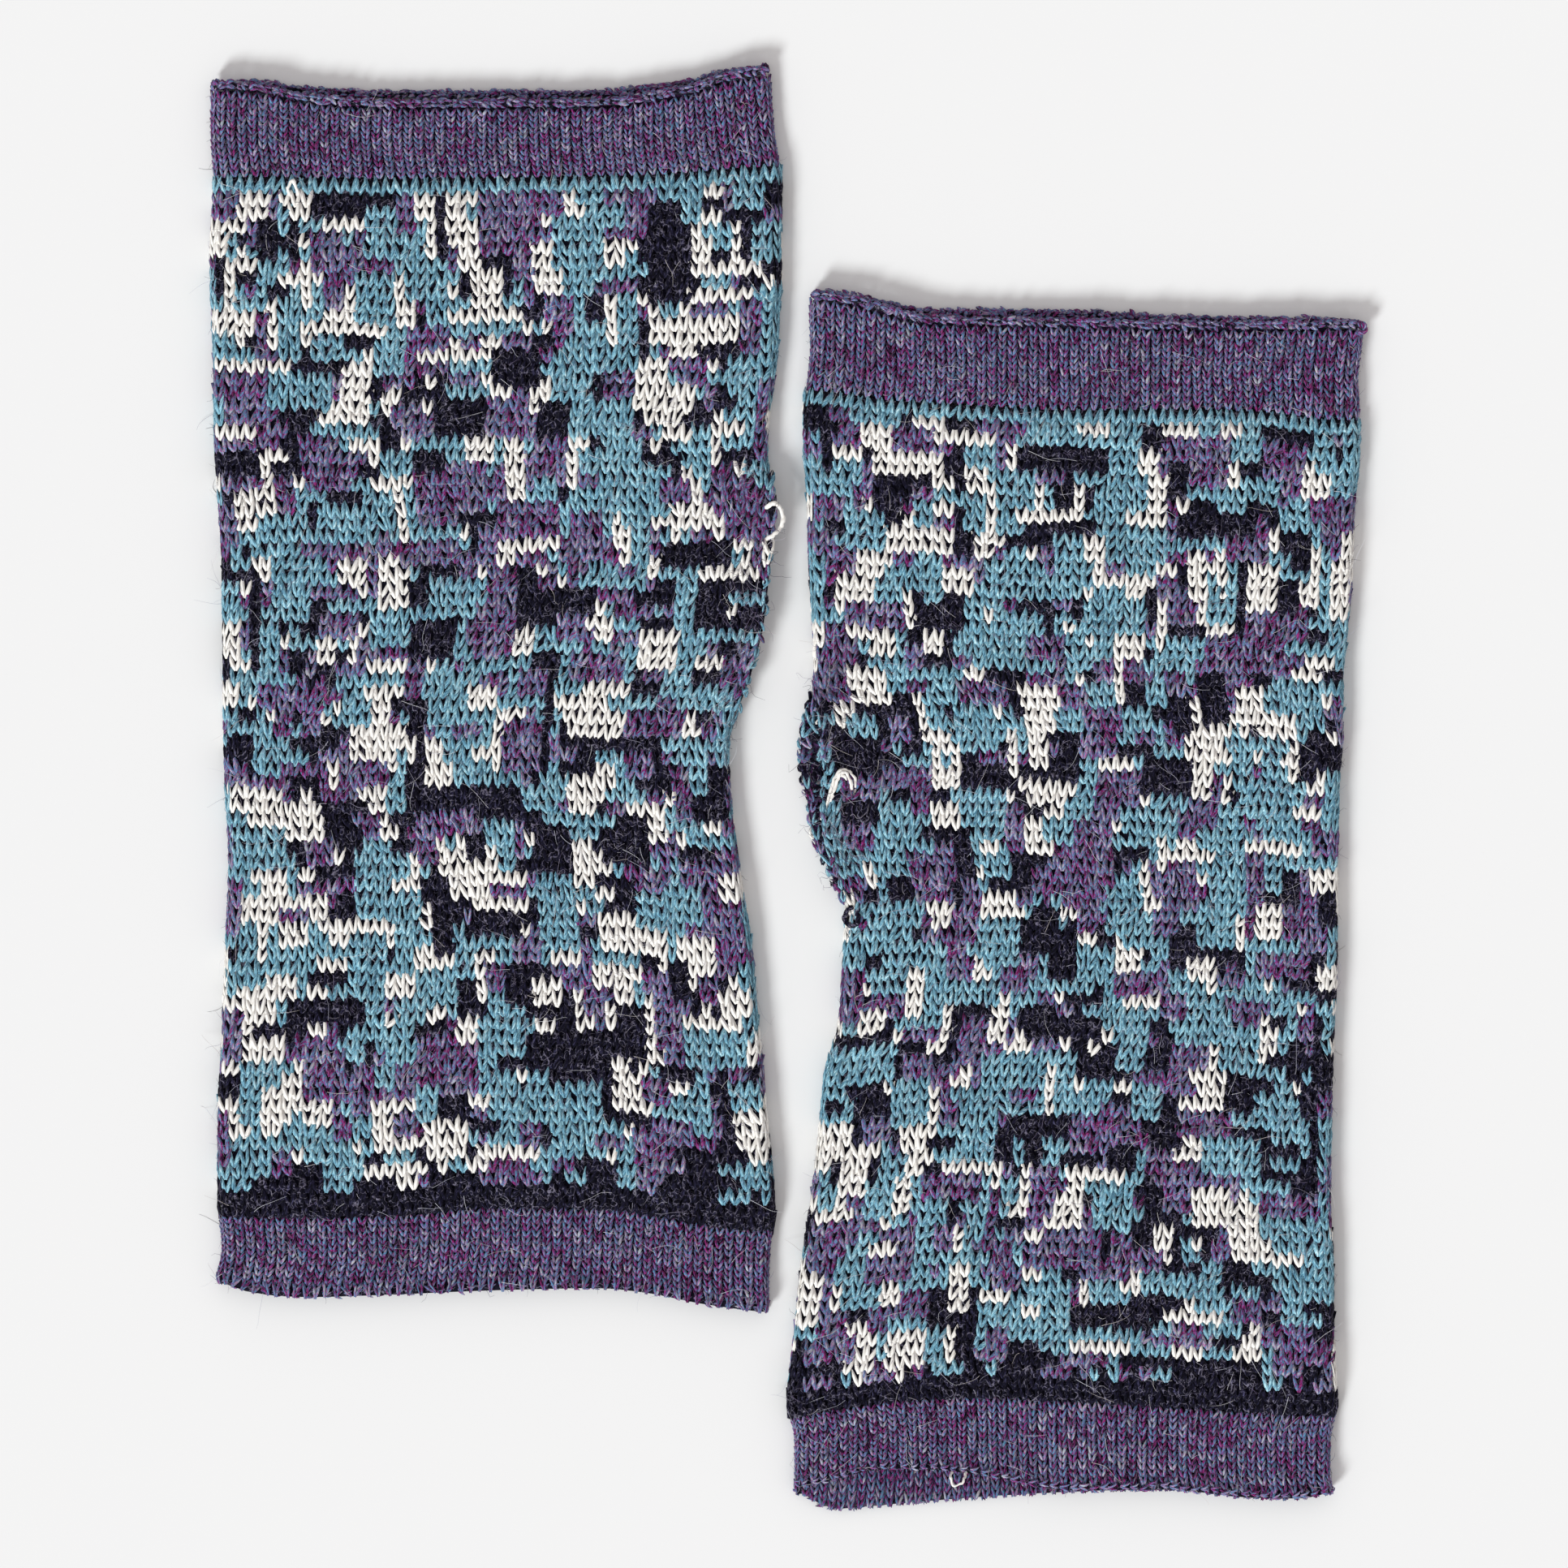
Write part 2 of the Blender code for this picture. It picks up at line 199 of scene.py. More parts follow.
# A leg of a stitch, from its foot to its head: the right leg, as across, up and outwards. The legs
# at the slit's edge are bowed so that two of them enclose a lens.
Leg = namedtuple("Leg", "foot bend head yarn")
JACQUARD_LEG = Leg((0.08, -1.74, -0.28), (0.70, -0.30, 0.0), (0.93, 1.62, -0.28), 0.495)
JERSEY_LEG = Leg((0.12, -0.86, -0.42), (0.34, 0.05, 0.0), (0.86, 0.98, -0.46), 0.33)
EDGE_LEG = Leg((0.10, -1.20, -0.35), (1.05, 0.0, 0.12), (0.16, 1.20, -0.42), 0.42)
CHAIN_LEG = Leg((0.14, -0.92, -0.34), (0.50, 0.0, 0.10), (0.72, 0.88, -0.40), 0.50)

# Two ways of knitting: the wall, the rows of a piece, the size of a stitch, its leg, the shell
# behind it and how deep that lies, how flat its stitches are, and how loosely they are knitted
Gauge = namedtuple("Gauge", "wale row")
Knit = namedtuple("Knit", "wall rows gauge leg shell shell_depth flatness loose")
JACQUARD = Knit(JACQUARD_WALL, 80, Gauge(1.85, 2.27), JACQUARD_LEG, BODY_SHELL, 0.50, 0.72, 1.0)
JERSEY = Knit(JERSEY_WALL, 12, Gauge(1.83, 1.18), JERSEY_LEG, CUFF_SHELL, 0.56, 0.90, 0.35)

# The wales round a mitten, the navy rows above the arm cuff and how much of the next row is navy
# too, and how far the stitches differ in size, in turn and in place. Those that face down more than
# UNDERSIDE says are plain ones, lifted a little.
WALES = 110
NAVY_ROWS = 2
RAGGED_NAVY = 0.35
SIZE_SPREAD = 0.10
TURN_SPREAD = 0.16
PLACE_SPREAD = 0.06
UNDERSIDE = -0.5
PLAIN_LIFT = 0.26

# The knitting's slow drift, in stitches, as waves by row and by wale, the phases of the drift up
# and of the drift round, and how many rows from each end the drift up takes to grow
Drift = namedtuple("Drift", "size by_row by_wale phase")
DRIFTS = (
    Drift(0.16, 0.23, 0.09, 1.0),
    Drift(0.12, -0.13, 0.41, 2.1),
    Drift(0.07, 0.77, 0.31, 3.7),
)
DRIFT_UP = 1.0
DRIFT_ROUND = 4.0
STEADY_ROWS = 3

# The yarn of a leg: how wide its head is, how far on its bulge starts at the foot, how much a
# straight leg narrows, how far apart two legs lie in the yarn, the turn that sets an edge of it up,
# the parts of its curve, and the sides of the thinnest tubes
FINE_ENDS = 0.20
FOOT_TURN = 0.12
PLAIN_TAPER = 0.3
LEG_APART = 5.0
EDGE_UP = math.pi / 2
LEG_PARTS = 3
TUBE_SIDES = 3

# The rim: its core, dark as painted shade under the chain, and the chain on it in strips that lean towards
# the end, in degrees
RIM_CORE = 0.5
RIM_CORE_SIDES = 8
RIM_PITCH = 1.35
RIM_STRIPS = (8.0, 86.0, 165.0)
RIM_UNEVEN = 0.11
RIM_LEAN_SPREAD = 0.12
RIM_TURN_SPREAD = 0.45
RIM_SIZE = 0.85
RIM_SIZE_SPREAD = 0.15

# The open selvages: the columns of stitches on them, their size, their shares of the four yarns,
# and how far they stray along, lean and turn
Selvage = namedtuple("Selvage", "column rise lean")
SELVAGES = (Selvage(0, 1.0, 1.0), Selvage(0, 1.5, 2.2), Selvage(WALES, -0.2, 0.7))
EDGE_SIZE = (0.8, 0.85, 1.0)
EDGE_YARNS = (0.38, 0.32, 0.26, 0.04)
SELVAGE_STRAY = 0.10
SELVAGE_UNEVEN = 0.30
SELVAGE_TURN = 0.40

# The loops that stand out of the selvages: their share of the stitches, how unevenly they lean, how
# far they stray and sink, their scales, and the sizes of one
LOOSE_LOOPS = 0.12
LOOP_UNEVEN = 0.6
LOOP_STRAY = 0.25
LOOP_SUNK = 0.2
LOOP_SCALES = (0.8, 1.3)
LOOP_SIZES = {"Loop radius": 0.50 * MM, "Yarn radius": 0.27 * MM, "Parts": 9, "Sides": 4}

# The cast-on edge of the arm cuff: its chain, and the first row above it, drawn out long. Only the
# right cuff gapes, so there the chain stands proud and is painted lighter as if lit, and the first row is
# sunk and painted darker as shade.
CAST_ON_UP = 0.4
CAST_ON_LEAN = 0.7
CAST_ON_SCALES = (0.9, 1.1)
CastOnSpread = namedtuple("CastOnSpread", "along up turn lean")
CAST_ON_SPREAD = CastOnSpread(0.08, 0.20, 0.15, 0.25)
CAST_ON_SUNK = {"left": 0.4, "right": -0.15}
CAST_ON_PAINTED_LIGHT = {"left": 0.0, "right": 0.9}
FIRST_ROW_WIDE = 0.8
FIRST_ROW_LONG = (1.2, 1.8)
FIRST_ROW_LEAN = 0.32
FIRST_ROW_UP = 0.8
FIRST_ROW_PAINTED_SHADE = {"left": 0.0, "right": 0.5}
FIRST_ROW_SUNK = {"left": 0.0, "right": 0.4}

# The inner side where it shows: rows past the front edge, and wales beside the slit, where a column
# of mixed yarns lies along the edge and tangled ends lie behind it
INNER_ROWS = 5
INNER_WALES = 4
INNER_LIFT = 0.45
# How much darker the rows past the front edge are painted, as the shade under that edge
INNER_EDGE_PAINTED_SHADE = 0.45
INNER_NAVY = 0.55
INNER_SCALES = (0.6, 1.0)
InnerSpread = namedtuple("InnerSpread", "place turn")
AT_EDGE = InnerSpread(0.08, 0.3)
BEHIND_EDGE = InnerSpread(0.3, 0.9)

TEAL, HEATHER, NAVY, IVORY = range(4)

# The jacquard's blocks of colour, in stitches across and rows up, and how often each comes
Patch = namedtuple("Patch", "yarn wide tall often")
PATCHES = (
    Patch(TEAL, 6, 3, 4),
    Patch(TEAL, 4, 4, 5),
    Patch(TEAL, 3, 2, 8),
    Patch(TEAL, 7, 1, 4),
    Patch(TEAL, 2, 5, 3),
    Patch(HEATHER, 6, 2, 4),
    Patch(HEATHER, 4, 4, 3),
    Patch(HEATHER, 3, 2, 9),
    Patch(HEATHER, 2, 4, 3),
    Patch(NAVY, 8, 2, 2),
    Patch(NAVY, 5, 3, 2),
    Patch(NAVY, 3, 4, 2),
    Patch(NAVY, 1, 8, 1),
    Patch(NAVY, 4, 1, 5),
    Patch(NAVY, 2, 3, 4),
    Patch(IVORY, 4, 3, 3),
    Patch(IVORY, 3, 2, 6),
    Patch(IVORY, 6, 1, 4),
    Patch(IVORY, 7, 2, 1),
    Patch(IVORY, 2, 4, 4),
    Patch(IVORY, 1, 4, 3),
    Patch(IVORY, 3, 4, 1),
)
PATCH_COUNT = 5200

# Yarn that hangs loose: its mitten, colour and thickness, and where it passes, as x, y and height
Thread = namedtuple("Thread", "mitten place yarn thick points")
THREADS = (
    Thread(
        "left", "slit", IVORY, 0.75,
        ((-4.6, 49.4, 3.6), (-3.4, 50.2, 5.2), (-2.2, 50.7, 5.4), (-1.2, 49.6, 5.2),
         (-0.9, 47.8, 4.8), (-1.5, 46.1, 4.8), (-2.9, 44.8, 5.3), (-4.4, 43.8, 3.8)),
    ),
    Thread(
        "left", "cuff_seam", IVORY, 0.7,
        ((-88.6, 105.2, 3.4), (-88.9, 106.6, 4.5), (-88.2, 107.9, 4.8), (-87.4, 106.8, 4.7),
         (-87.3, 105.3, 3.4)),
    ),
    Thread(
        "right", "slit", IVORY, 0.62,
        ((7.2, -4.6, 3.6), (7.8, -2.0, 4.9), (8.6, 0.8, 5.1), (9.7, 2.7, 5.2), (10.7, 2.3, 5.1),
         (11.3, 0.6, 5.0), (11.6, -1.4, 3.6)),
    ),
    Thread(
        "right", "slit_strand", IVORY, 0.58,
        ((6.0, -5.6, 3.2), (7.1, -2.4, 4.6), (8.1, 1.0, 5.2), (9.5, 3.2, 5.0), (11.0, 2.9, 4.6),
         (12.0, 1.2, 4.6), (12.1, -1.6, 3.4)),
    ),
    Thread(
        "right", "slit_tail", IVORY, 0.5,
        ((10.6, 1.6, 4.4), (9.4, 2.2, 5.0), (8.2, 0.6, 5.0), (7.3, -1.8, 4.9), (6.6, -4.2, 4.6),
         (6.3, -6.4, 4.0)),
    ),
    Thread(
        "right", "waist", NAVY, 0.85,
        ((12.6, -21.6, 3.6), (11.2, -21.5, 4.7), (10.2, -22.4, 4.4), (10.2, -23.8, 4.0),
         (11.2, -24.6, 4.0), (12.3, -24.1, 4.6), (12.6, -22.9, 4.8), (12.2, -21.9, 4.2)),
    ),
    Thread(
        "right", "arm_cuff", IVORY, 0.5,
        ((29.3, -121.9, 3.4), (29.0, -122.9, 4.8), (29.6, -124.0, 5.0), (30.7, -124.1, 5.0),
         (31.5, -123.1, 4.9), (31.7, -122.0, 3.6)),
    ),
    Thread(
        "right", "rim_nub", HEATHER, 1.0,
        ((101.2, 81.2, 2.6), (102.4, 81.2, 2.9), (102.9, 81.9, 2.8), (102.4, 82.7, 2.6),
         (101.2, 82.6, 2.4)),
    ),
)

# A loose thread: its steps from one point to the next, its sides, how far it sways and in what
# waves, to the metre, and how thin and how thick it gets
THREAD_STEPS = 6
THREAD_SIDES = 6
THREAD_SWAY = 0.9
THREAD_WAVES = 1100.0
THREAD_THINNEST = 0.2
THREAD_SWELL = 1.6

# Loose fibres: how many lie on the body and on each cuff, their lengths, radius, curl and points,
# how far they lean out of the cloth, and the part of the cloth that they lie on, round and up
Fibres = namedtuple("Fibres", "name body cuff short long radius curl curl_size parts lean around up")
FRONT_SIDE = (0.44, 1.0)
ALL_UP = (0.0, 1.0)
STRAY = Fibres("stray_fibres", 680, 40, 1.5, 6.5, 0.042, 7.0, 170.0, 10, 0.2, FRONT_SIDE, ALL_UP)
FUZZ = Fibres("fuzz", 1700, 280, 0.8, 2.4, 0.04, 3.0, 700.0, 4, 0.6, FRONT_SIDE, ALL_UP)
FRONT_LIP = (0.965, 1.0)
BACK_LIP = (0.0, 0.035)
BY_SLIT = (0.47, 0.73)
TANGLE_FRONT = Fibres("tangle_front", 130, 0, 1.5, 4.5, 0.05, 9.0, 600.0, 8, 0.4, FRONT_LIP, BY_SLIT)
TANGLE_BACK = Fibres("tangle_back", 110, 0, 1.5, 4.5, 0.05, 9.0, 600.0, 8, 0.3, BACK_LIP, BY_SLIT)

# What all the fibres share: how flat they curl, how much they narrow, the detail of their curl and
# how far apart two of them read it, their lift off the cloth, and the least that they lean out
HAIR_FLATNESS = 0.35
HAIR_TAPER = 0.6
HAIR_DETAIL = 0.4
HAIRS_APART = 400.0
HAIR_LIFT = 0.1
LEAST_LEAN = 0.03

# The picture: a camera straight above, and a soft sun from below the pair and to its left
PICTURE_WIDTH = 279.2
PICTURE_CENTRE = (-0.65, 0.65)
CAMERA_HEIGHT = 1500.0
CAMERA_REACH = 100000.0
CLOTH_TOP = 4.5
SENSOR = 36.0
FLOOR_HALF = 3000.0
FLOOR_DROP = 0.05
FLOOR_SHADE = (239, 239, 239)
SUN_FROM = (-0.48, -0.68, 0.56)
SUN_STRENGTH = 2.65
SUN_SPREAD = 16.0
SUN_COLOUR = (0.96, 1.0, 1.0)
SKY_COLOUR = (1.0, 0.965, 0.965)
SKY_STRENGTH = 0.60


def blend(low, high, share):
    return low + (high - low) * share


def soft_step(value):
    value = np.clip(value, 0.0, 1.0)
    return value * value * (3 - 2 * value)


def bell(distance, reach):
    return np.exp(-((distance / reach) ** 2))


def unit(vectors):
    return vectors / np.maximum(np.linalg.norm(vectors, axis=-1, keepdims=True), 1e-12)


def curve_of(rows, by, column):
    """A table's column as a smooth curve that passes its rows and never swings beyond them."""
    places = np.array([getattr(row, by) for row in rows])
    values = np.array([getattr(row, column) for row in rows])
    steps = np.diff(places)
    slopes = np.diff(values) / steps
    before, after = slopes[:-1], slopes[1:]
    one_way = before * after > 0
    middle = np.zeros(len(before))
    middle[one_way] = 2 * before[one_way] * after[one_way] / (before + after)[one_way]
    tangents = np.concatenate(([slopes[0]], middle, [slopes[-1]]))

    def at(place):
        place = np.clip(place, places[0], places[-1])
        i = np.clip(np.searchsorted(places, place) - 1, 0, len(steps) - 1)
        s = (place - places[i]) / steps[i]
        ends = blend(values[i], values[i + 1], s * s * (3 - 2 * s))
        leaving = tangents[i] * s * (1 - s) ** 2
        arriving = tangents[i + 1] * s * s * (1 - s)
        return ends + steps[i] * (leaving - arriving)

    return at


def read_evenly(even, way, field):
    """A line's points or directions, at even steps of the way along it."""
    return np.stack([np.interp(even, way, field[:, k]) for k in range(3)], axis=-1)


def side_curves(mitten):
    """The folded side and both thumb sides by height, counted towards the thumb."""
    curves = {column: curve_of(mitten.sides, "y", column) for column in Side._fields[1:]}
    return {
        column: (lambda y, line=line: mitten.thumb_way * line(y)) for column, line in curves.items()
    }


def end_curves(mitten):
    return {column: curve_of(mitten.ends, "across", column) for column in End._fields[1:]}


def slit_opening(mitten, y):
    """0 where the selvages are sewn, 1 in the open slit."""
    return soft_step((y - mitten.slit_low) / SLIT_RAMP) * soft_step((mitten.slit_high - y) / SLIT_RAMP)


# Places round a section, from the thumb side by the back layer, the fold and the front layer
Ring = namedtuple("Ring", "layer across turn")
BACK, FOLD, FRONT = -1, 0, 1


def ring_of(fineness):
    curl = np.arange(1, fineness.curl + 1) / fineness.curl
    flat = np.linspace(0, 1, fineness.flat + 1)
    fold = np.linspace(-1, 1, fineness.fold + 1)[1:-1]
    counts = (len(curl) + len(flat), len(fold), len(flat) + len(curl))
    layer = np.repeat((BACK, FOLD, FRONT), counts)
    across = np.concatenate((np.ones(len(curl)), flat[::-1], 0 * fold, flat, np.ones(len(curl))))
    turn = np.concatenate((curl[::-1], 0 * flat, fold, 0 * flat, curl))
    return Ring(layer, across, turn)


def front_share(ring):
    """0 on the back layer, 1 on the front layer, and between them in the fold."""
    in_fold = (1 + np.sin(ring.turn * math.pi / 2)) / 2
    return np.where(ring.layer == FOLD, in_fold, (ring.layer + 1) / 2)


def bent(radius, closed, turn):
    """A selvage's way outwards and inwards, and its angle, as it curls towards the seam."""
    bend = np.maximum(closed, FLAT_BEND)
    angle = bend * turn * math.pi / 2
    return radius * np.sin(angle) / bend, radius * (1 - np.cos(angle)) / bend, angle


def wall_line(mitten, sides, y, wall, ring):
    """Middle of the wall, as the way towards the thumb and the height, and its outward normal."""
    thick = 2 * wall + HOLLOW
    radius = (wall + HOLLOW) / 2
    folded = sides["fold"](y) + thick / 2
    turn = ring.turn * math.pi / 2
    opening = slit_opening(mitten, y)
    selvage = np.where(ring.layer == FRONT, sides["thumb_front"](y), sides["thumb_back"](y))
    widest, _, steepest = bent(radius, 1 - opening, 1.0)
    flat_end = selvage - widest - wall / 2 * np.sin(steepest)
    outwards, inwards, angle = bent(radius, 1 - opening, ring.turn)
    along = blend(folded, flat_end, ring.across) + outwards
    roll = SLIT_ROLL * opening * bell(selvage - along, SLIT_ROLL_REACH)
    back = wall / 2 + inwards
    front = thick - wall / 2 + roll - inwards
    in_fold = ring.layer == FOLD
    height = np.where(ring.layer == FRONT, front, back)
    along = np.where(in_fold, folded - radius * np.cos(turn), along)
    height = np.where(in_fold, thick / 2 + radius * np.sin(turn), height)
    out_along = np.where(in_fold, -np.cos(turn), np.sin(angle))
    out_height = np.where(in_fold, np.sin(turn), ring.layer * np.cos(angle))
    return along, height, out_along, out_height


def clear_of_seam(z, wall, ring):
    """Keeps the two selvages a seam's gap apart."""
    middle = wall + HOLLOW / 2
    below = np.minimum(z, middle - SEAM_GAP / 2)
    above = np.maximum(z, middle + SEAM_GAP / 2)
    return np.where(ring.layer == BACK, below, np.where(ring.layer == FRONT, above, z))


def crease_lift(mitten, x, y):
    """How far the front layer's creases raise it."""
    lift = np.zeros(np.broadcast(x, y).shape)
    for crease in CREASES:
        if crease.mitten == mitten.name:
            turn = math.radians(crease.turn)
            along = (x - crease.x) * math.cos(turn) + (y - crease.y) * math.sin(turn)
            across = (y - crease.y) * math.cos(turn) - (x - crease.x) * math.sin(turn)
            lift = lift + crease.height * bell(along, crease.length) * bell(across, crease.width)
    return lift


# A piece of cloth between two lines across the mitten, and how it is knitted
Piece = namedtuple("Piece", "name low high knit")


def mitten_pieces(ends):
    """The three pieces of cloth, and the line of the hand's edge."""

    def line(column, shift):
        return lambda across, front: ends[column](across) + shift

    def edge(name, shift):
        front_line, back_line = ends[name + "_front"], ends[name + "_back"]
        return lambda across, front: blend(back_line(across), front_line(across), front) + shift

    half_gap = SEAM_GAP / 2
    below_rim = -(RIM_DIAMETER + SEAM_GAP)
    body = Piece("body", line("arm_seam", half_gap), line("hand_seam", -half_gap), JACQUARD)
    arm_cuff = Piece("arm_cuff", edge("arm", 0.0), line("arm_seam", -half_gap), JERSEY)
    hand_cuff = Piece("hand_cuff", line("hand_seam", half_gap), edge("hand", below_rim), JERSEY)
    return (body, arm_cuff, hand_cuff), edge("hand", 0.0)


def wall_face(mitten, piece, shares, ring, depth):
    """Points of a piece, row by row, that far below its outer face, or on its inner face if None."""
    sides = side_curves(mitten)
    front = front_share(ring)
    low = piece.low(ring.across, front)
    high = piece.high(ring.across, front)
    y = blend(low, high, shares[:, None])
    from_end = np.minimum(y - low, high - y)
    wall = blend(JERSEY_WALL, piece.knit.wall, soft_step(from_end / WALL_RAMP))
    along, z, out_along, out_z = wall_line(mitten, sides, y, wall, ring)
    if piece.name == "arm_cuff":
        z = z + front * ARM_ROLL * bell(y - low, ARM_ROLL_REACH)
    offset = -wall / 2 if depth is None else wall / 2 - depth
    x = mitten.thumb_way * (along + offset * out_along)
    height = clear_of_seam(z + offset * out_z, wall, ring)
    flat = np.where(ring.layer == FRONT, 1 - ring.turn, 0.0)
    return np.stack((x, y, height + flat * crease_lift(mitten, x, y)), axis=-1)


# A place on the cloth: its point, its three directions, and how far apart wales and rows lie
Spot = namedtuple("Spot", "place sideways upward outward girth length")


class Cloth:
    """A face of a piece. Round it runs from the thumb seam by the back layer, the fold and the
    front layer to the thumb seam again, and up it from the forearm end, both from 0 to 1."""

    def __init__(self, mitten, piece, depth=0.0):
        self.mitten = mitten
        self.piece = piece
        shares = np.linspace(0, 1, READ_FORM.rows)
        points = wall_face(mitten, piece, shares, ring_of(READ_FORM), depth)
        steps = np.linalg.norm(np.diff(points, axis=1), axis=2)
        along = np.pad(np.cumsum(steps, axis=1), ((0, 0), (1, 0)))
        evenly = np.linspace(0, 1, AROUND_STEPS)
        rows = [read_evenly(evenly * way[-1], way, row) for row, way in zip(points, along)]
        self.points = np.array(rows)
        self.sideways = np.gradient(self.points, axis=1) * (AROUND_STEPS - 1)
        self.upward = np.gradient(self.points, axis=0) * (READ_FORM.rows - 1)
        out_way = mitten.thumb_way if depth is not None else -mitten.thumb_way
        self.outward = out_way * np.cross(unit(self.sideways), unit(self.upward))

    def inner(self):
        """The inner face of the same piece."""
        return Cloth(self.mitten, self.piece, None)

    def at(self, around, up):
        rows, columns = self.points.shape[:2]
        i = np.clip(up, 0, 1) * (rows - 1)
        j = np.clip(around, 0, 1) * (columns - 1)
        row = np.minimum(i.astype(int), rows - 2)
        column = np.minimum(j.astype(int), columns - 2)
        i, j = (i - row)[..., None], (j - column)[..., None]

        def read(field):
            near = blend(field[row, column], field[row, column + 1], j)
            far = blend(field[row + 1, column], field[row + 1, column + 1], j)
            return blend(near, far, i)

        sideways, upward = read(self.sideways), read(self.upward)
        return Spot(
            read(self.points),
            unit(sideways),
            unit(upward),
            unit(read(self.outward)),
            np.linalg.norm(sideways, axis=-1),
            np.linalg.norm(upward, axis=-1),
        )


def linear(red, green, blue):
    """A colour of 0 to 255 a channel, as light, with an alpha of 1."""
    parts = [value / 255 for value in (red, green, blue)]
    return (*(p / 12.92 if p <= 0.04045 else ((p + 0.055) / 1.055) ** 2.4 for p in parts), 1.0)


def mosaic(rows, wales, seed):
    """The jacquard as a yarn for each stitch: blocks of four colours thrown over one another."""
    random = np.random.default_rng(seed)
    chart = np.full((rows, wales), TEAL)
    often = np.array([patch.often for patch in PATCHES], float)
    for choice in random.choice(len(PATCHES), PATCH_COUNT, p=often / often.sum()):
        patch = PATCHES[choice]
        row = random.integers(1 - patch.tall, rows)
        column = random.integers(0, wales)
        columns = np.arange(column, column + patch.wide) % wales
        chart[max(row, 0) : row + patch.tall, columns] = patch.yarn
    chart[NAVY_ROWS, random.random(wales) < RAGGED_NAVY] = NAVY
    chart[:NAVY_ROWS] = NAVY
    chart[-1] = TEAL
    return chart


# Stitches by the thousand, one entry for each in every field
Stitches = namedtuple("Stitches", "place outward upward size tint plain yarn")


def pick(stitches, chosen):
    return Stitches(*(field[chosen] for field in stitches))


def joined(groups):
    return Stitches(*(np.concatenate(fields) for fields in zip(*groups)))


def uneven(row, column, phase):
    """A slow drift of the knitting, in stitches, that no row or wale shares with the next."""
    return sum(
        drift.size * np.sin(drift.by_row * row + drift.by_wale * column + drift.phase * phase)
        for drift in DRIFTS
    )


def tilted(upward, sideways, angle):
    return upward * np.cos(angle)[:, None] + sideways * np.sin(angle)[:, None]


def in_full(stitches, **changes):
    """The stitches with what changes, all of them knitted in full."""
    return stitches._replace(plain=np.zeros(len(stitches.yarn), bool), **changes)


def stitches_on(cloth, column_at, row_at, yarn, random):
    """A stitch at each place, in wales round and rows up, as wide and tall as the cloth is there."""
    knit = cloth.piece.knit
    count = len(yarn)
    spot = cloth.at(column_at / WALES, row_at / knit.rows)
    spread = random.normal(1.0, SIZE_SPREAD * knit.loose, (count, 3))
    wide = spot.girth / WALES / knit.gauge.wale
    tall = spot.length / knit.rows / knit.gauge.row
    size = np.stack((wide, tall, np.full(count, knit.flatness)), axis=-1) * spread
    plain = spot.outward[:, 2] < UNDERSIDE
    place = spot.place + np.where(plain, PLAIN_LIFT, 0.0)[:, None] * spot.outward
    turn = random.normal(0, TURN_SPREAD * knit.loose, count)
    upward = tilted(spot.upward, spot.sideways, turn)
    return Stitches(place, spot.outward, upward, size, random.random((count, 3)), plain, yarn)


def panel(cloth, chart, random):
    """A stitch for each entry of the chart, on the outer face of the cloth."""
    knit = cloth.piece.knit
    row, column = (index.ravel() for index in np.indices(chart.shape))
    free = np.clip(np.minimum(row, knit.rows - 1 - row) / STEADY_ROWS, 0, 1)
    jitter = random.normal(0, PLACE_SPREAD, (2, len(row)))
    row_at = row + 0.5 + free * knit.loose * (uneven(row, column, DRIFT_UP) + jitter[0])
    column_at = column + 0.5 + knit.loose * (uneven(row, column, DRIFT_ROUND) + jitter[1])
    return stitches_on(cloth, column_at, row_at, chart.ravel(), random)


def sewn_and_open(cloth):
    """The rows whose two selvages are sewn to each other, and those of the open slit."""
    rows = cloth.piece.knit.rows
    y = cloth.at(np.zeros(rows), (np.arange(rows) + 0.5) / rows).place[:, 1]
    sewn = slit_opening(cloth.mitten, y) < 0.5
    return np.flatnonzero(sewn), np.flatnonzero(~sewn)


def seam(cloth, chart, random):
    """A column of stitches that closes the thumb side where the selvages are sewn."""
    row, _ = sewn_and_open(cloth)
    back = stitches_on(cloth, 0.0 * row, row + 0.5, chart[row, 0], random)
    front = stitches_on(cloth, 0.0 * row + WALES, row + 0.5, chart[row, -1], random)
    thumb = np.tile((float(cloth.mitten.thumb_way), 0.0, 0.0), (len(row), 1))
    return in_full(front, place=(back.place + front.place) / 2, outward=thumb)


def slit_edge(cloth, random):
    """A column of stitches along each open selvage, where the floats turn back, in mixed yarns."""
    _, row = sewn_and_open(cloth)
    count = len(row)
    edges = []
    for selvage in SELVAGES:
        colours = random.choice(len(EDGE_YARNS), count, p=EDGE_YARNS)
        row_at = row + 0.5 + random.normal(0, SELVAGE_STRAY, count)
        made = stitches_on(cloth, 0.0 * row + selvage.column, row_at, colours, random)
        out = (cloth.mitten.thumb_way, 0.0, selvage.lean)
        outward = unit(random.normal(0, SELVAGE_UNEVEN, (count, 3)) + out)
        turn = random.normal(0, SELVAGE_TURN, count)
        upward = tilted(made.upward, np.cross(made.upward, outward), turn)
        place = made.place + (0.0, 0.0, selvage.rise)
        size = made.size * EDGE_SIZE
        edges.append(in_full(made, place=place, outward=outward, upward=upward, size=size))
    return joined(edges)


def slit_loops(edge, random):
    """Loose loops that stand out of the selvages here and there."""
    loose = pick(edge, random.random(len(edge.yarn)) < LOOSE_LOOPS)
    shape = (len(loose.yarn), 3)
    outward = unit(loose.outward + random.normal(0, LOOP_UNEVEN, shape))
    place = loose.place + random.normal(0, LOOP_STRAY, shape) - LOOP_SUNK * loose.outward
    return loose._replace(place=place, outward=outward, size=random.uniform(*LOOP_SCALES, shape))


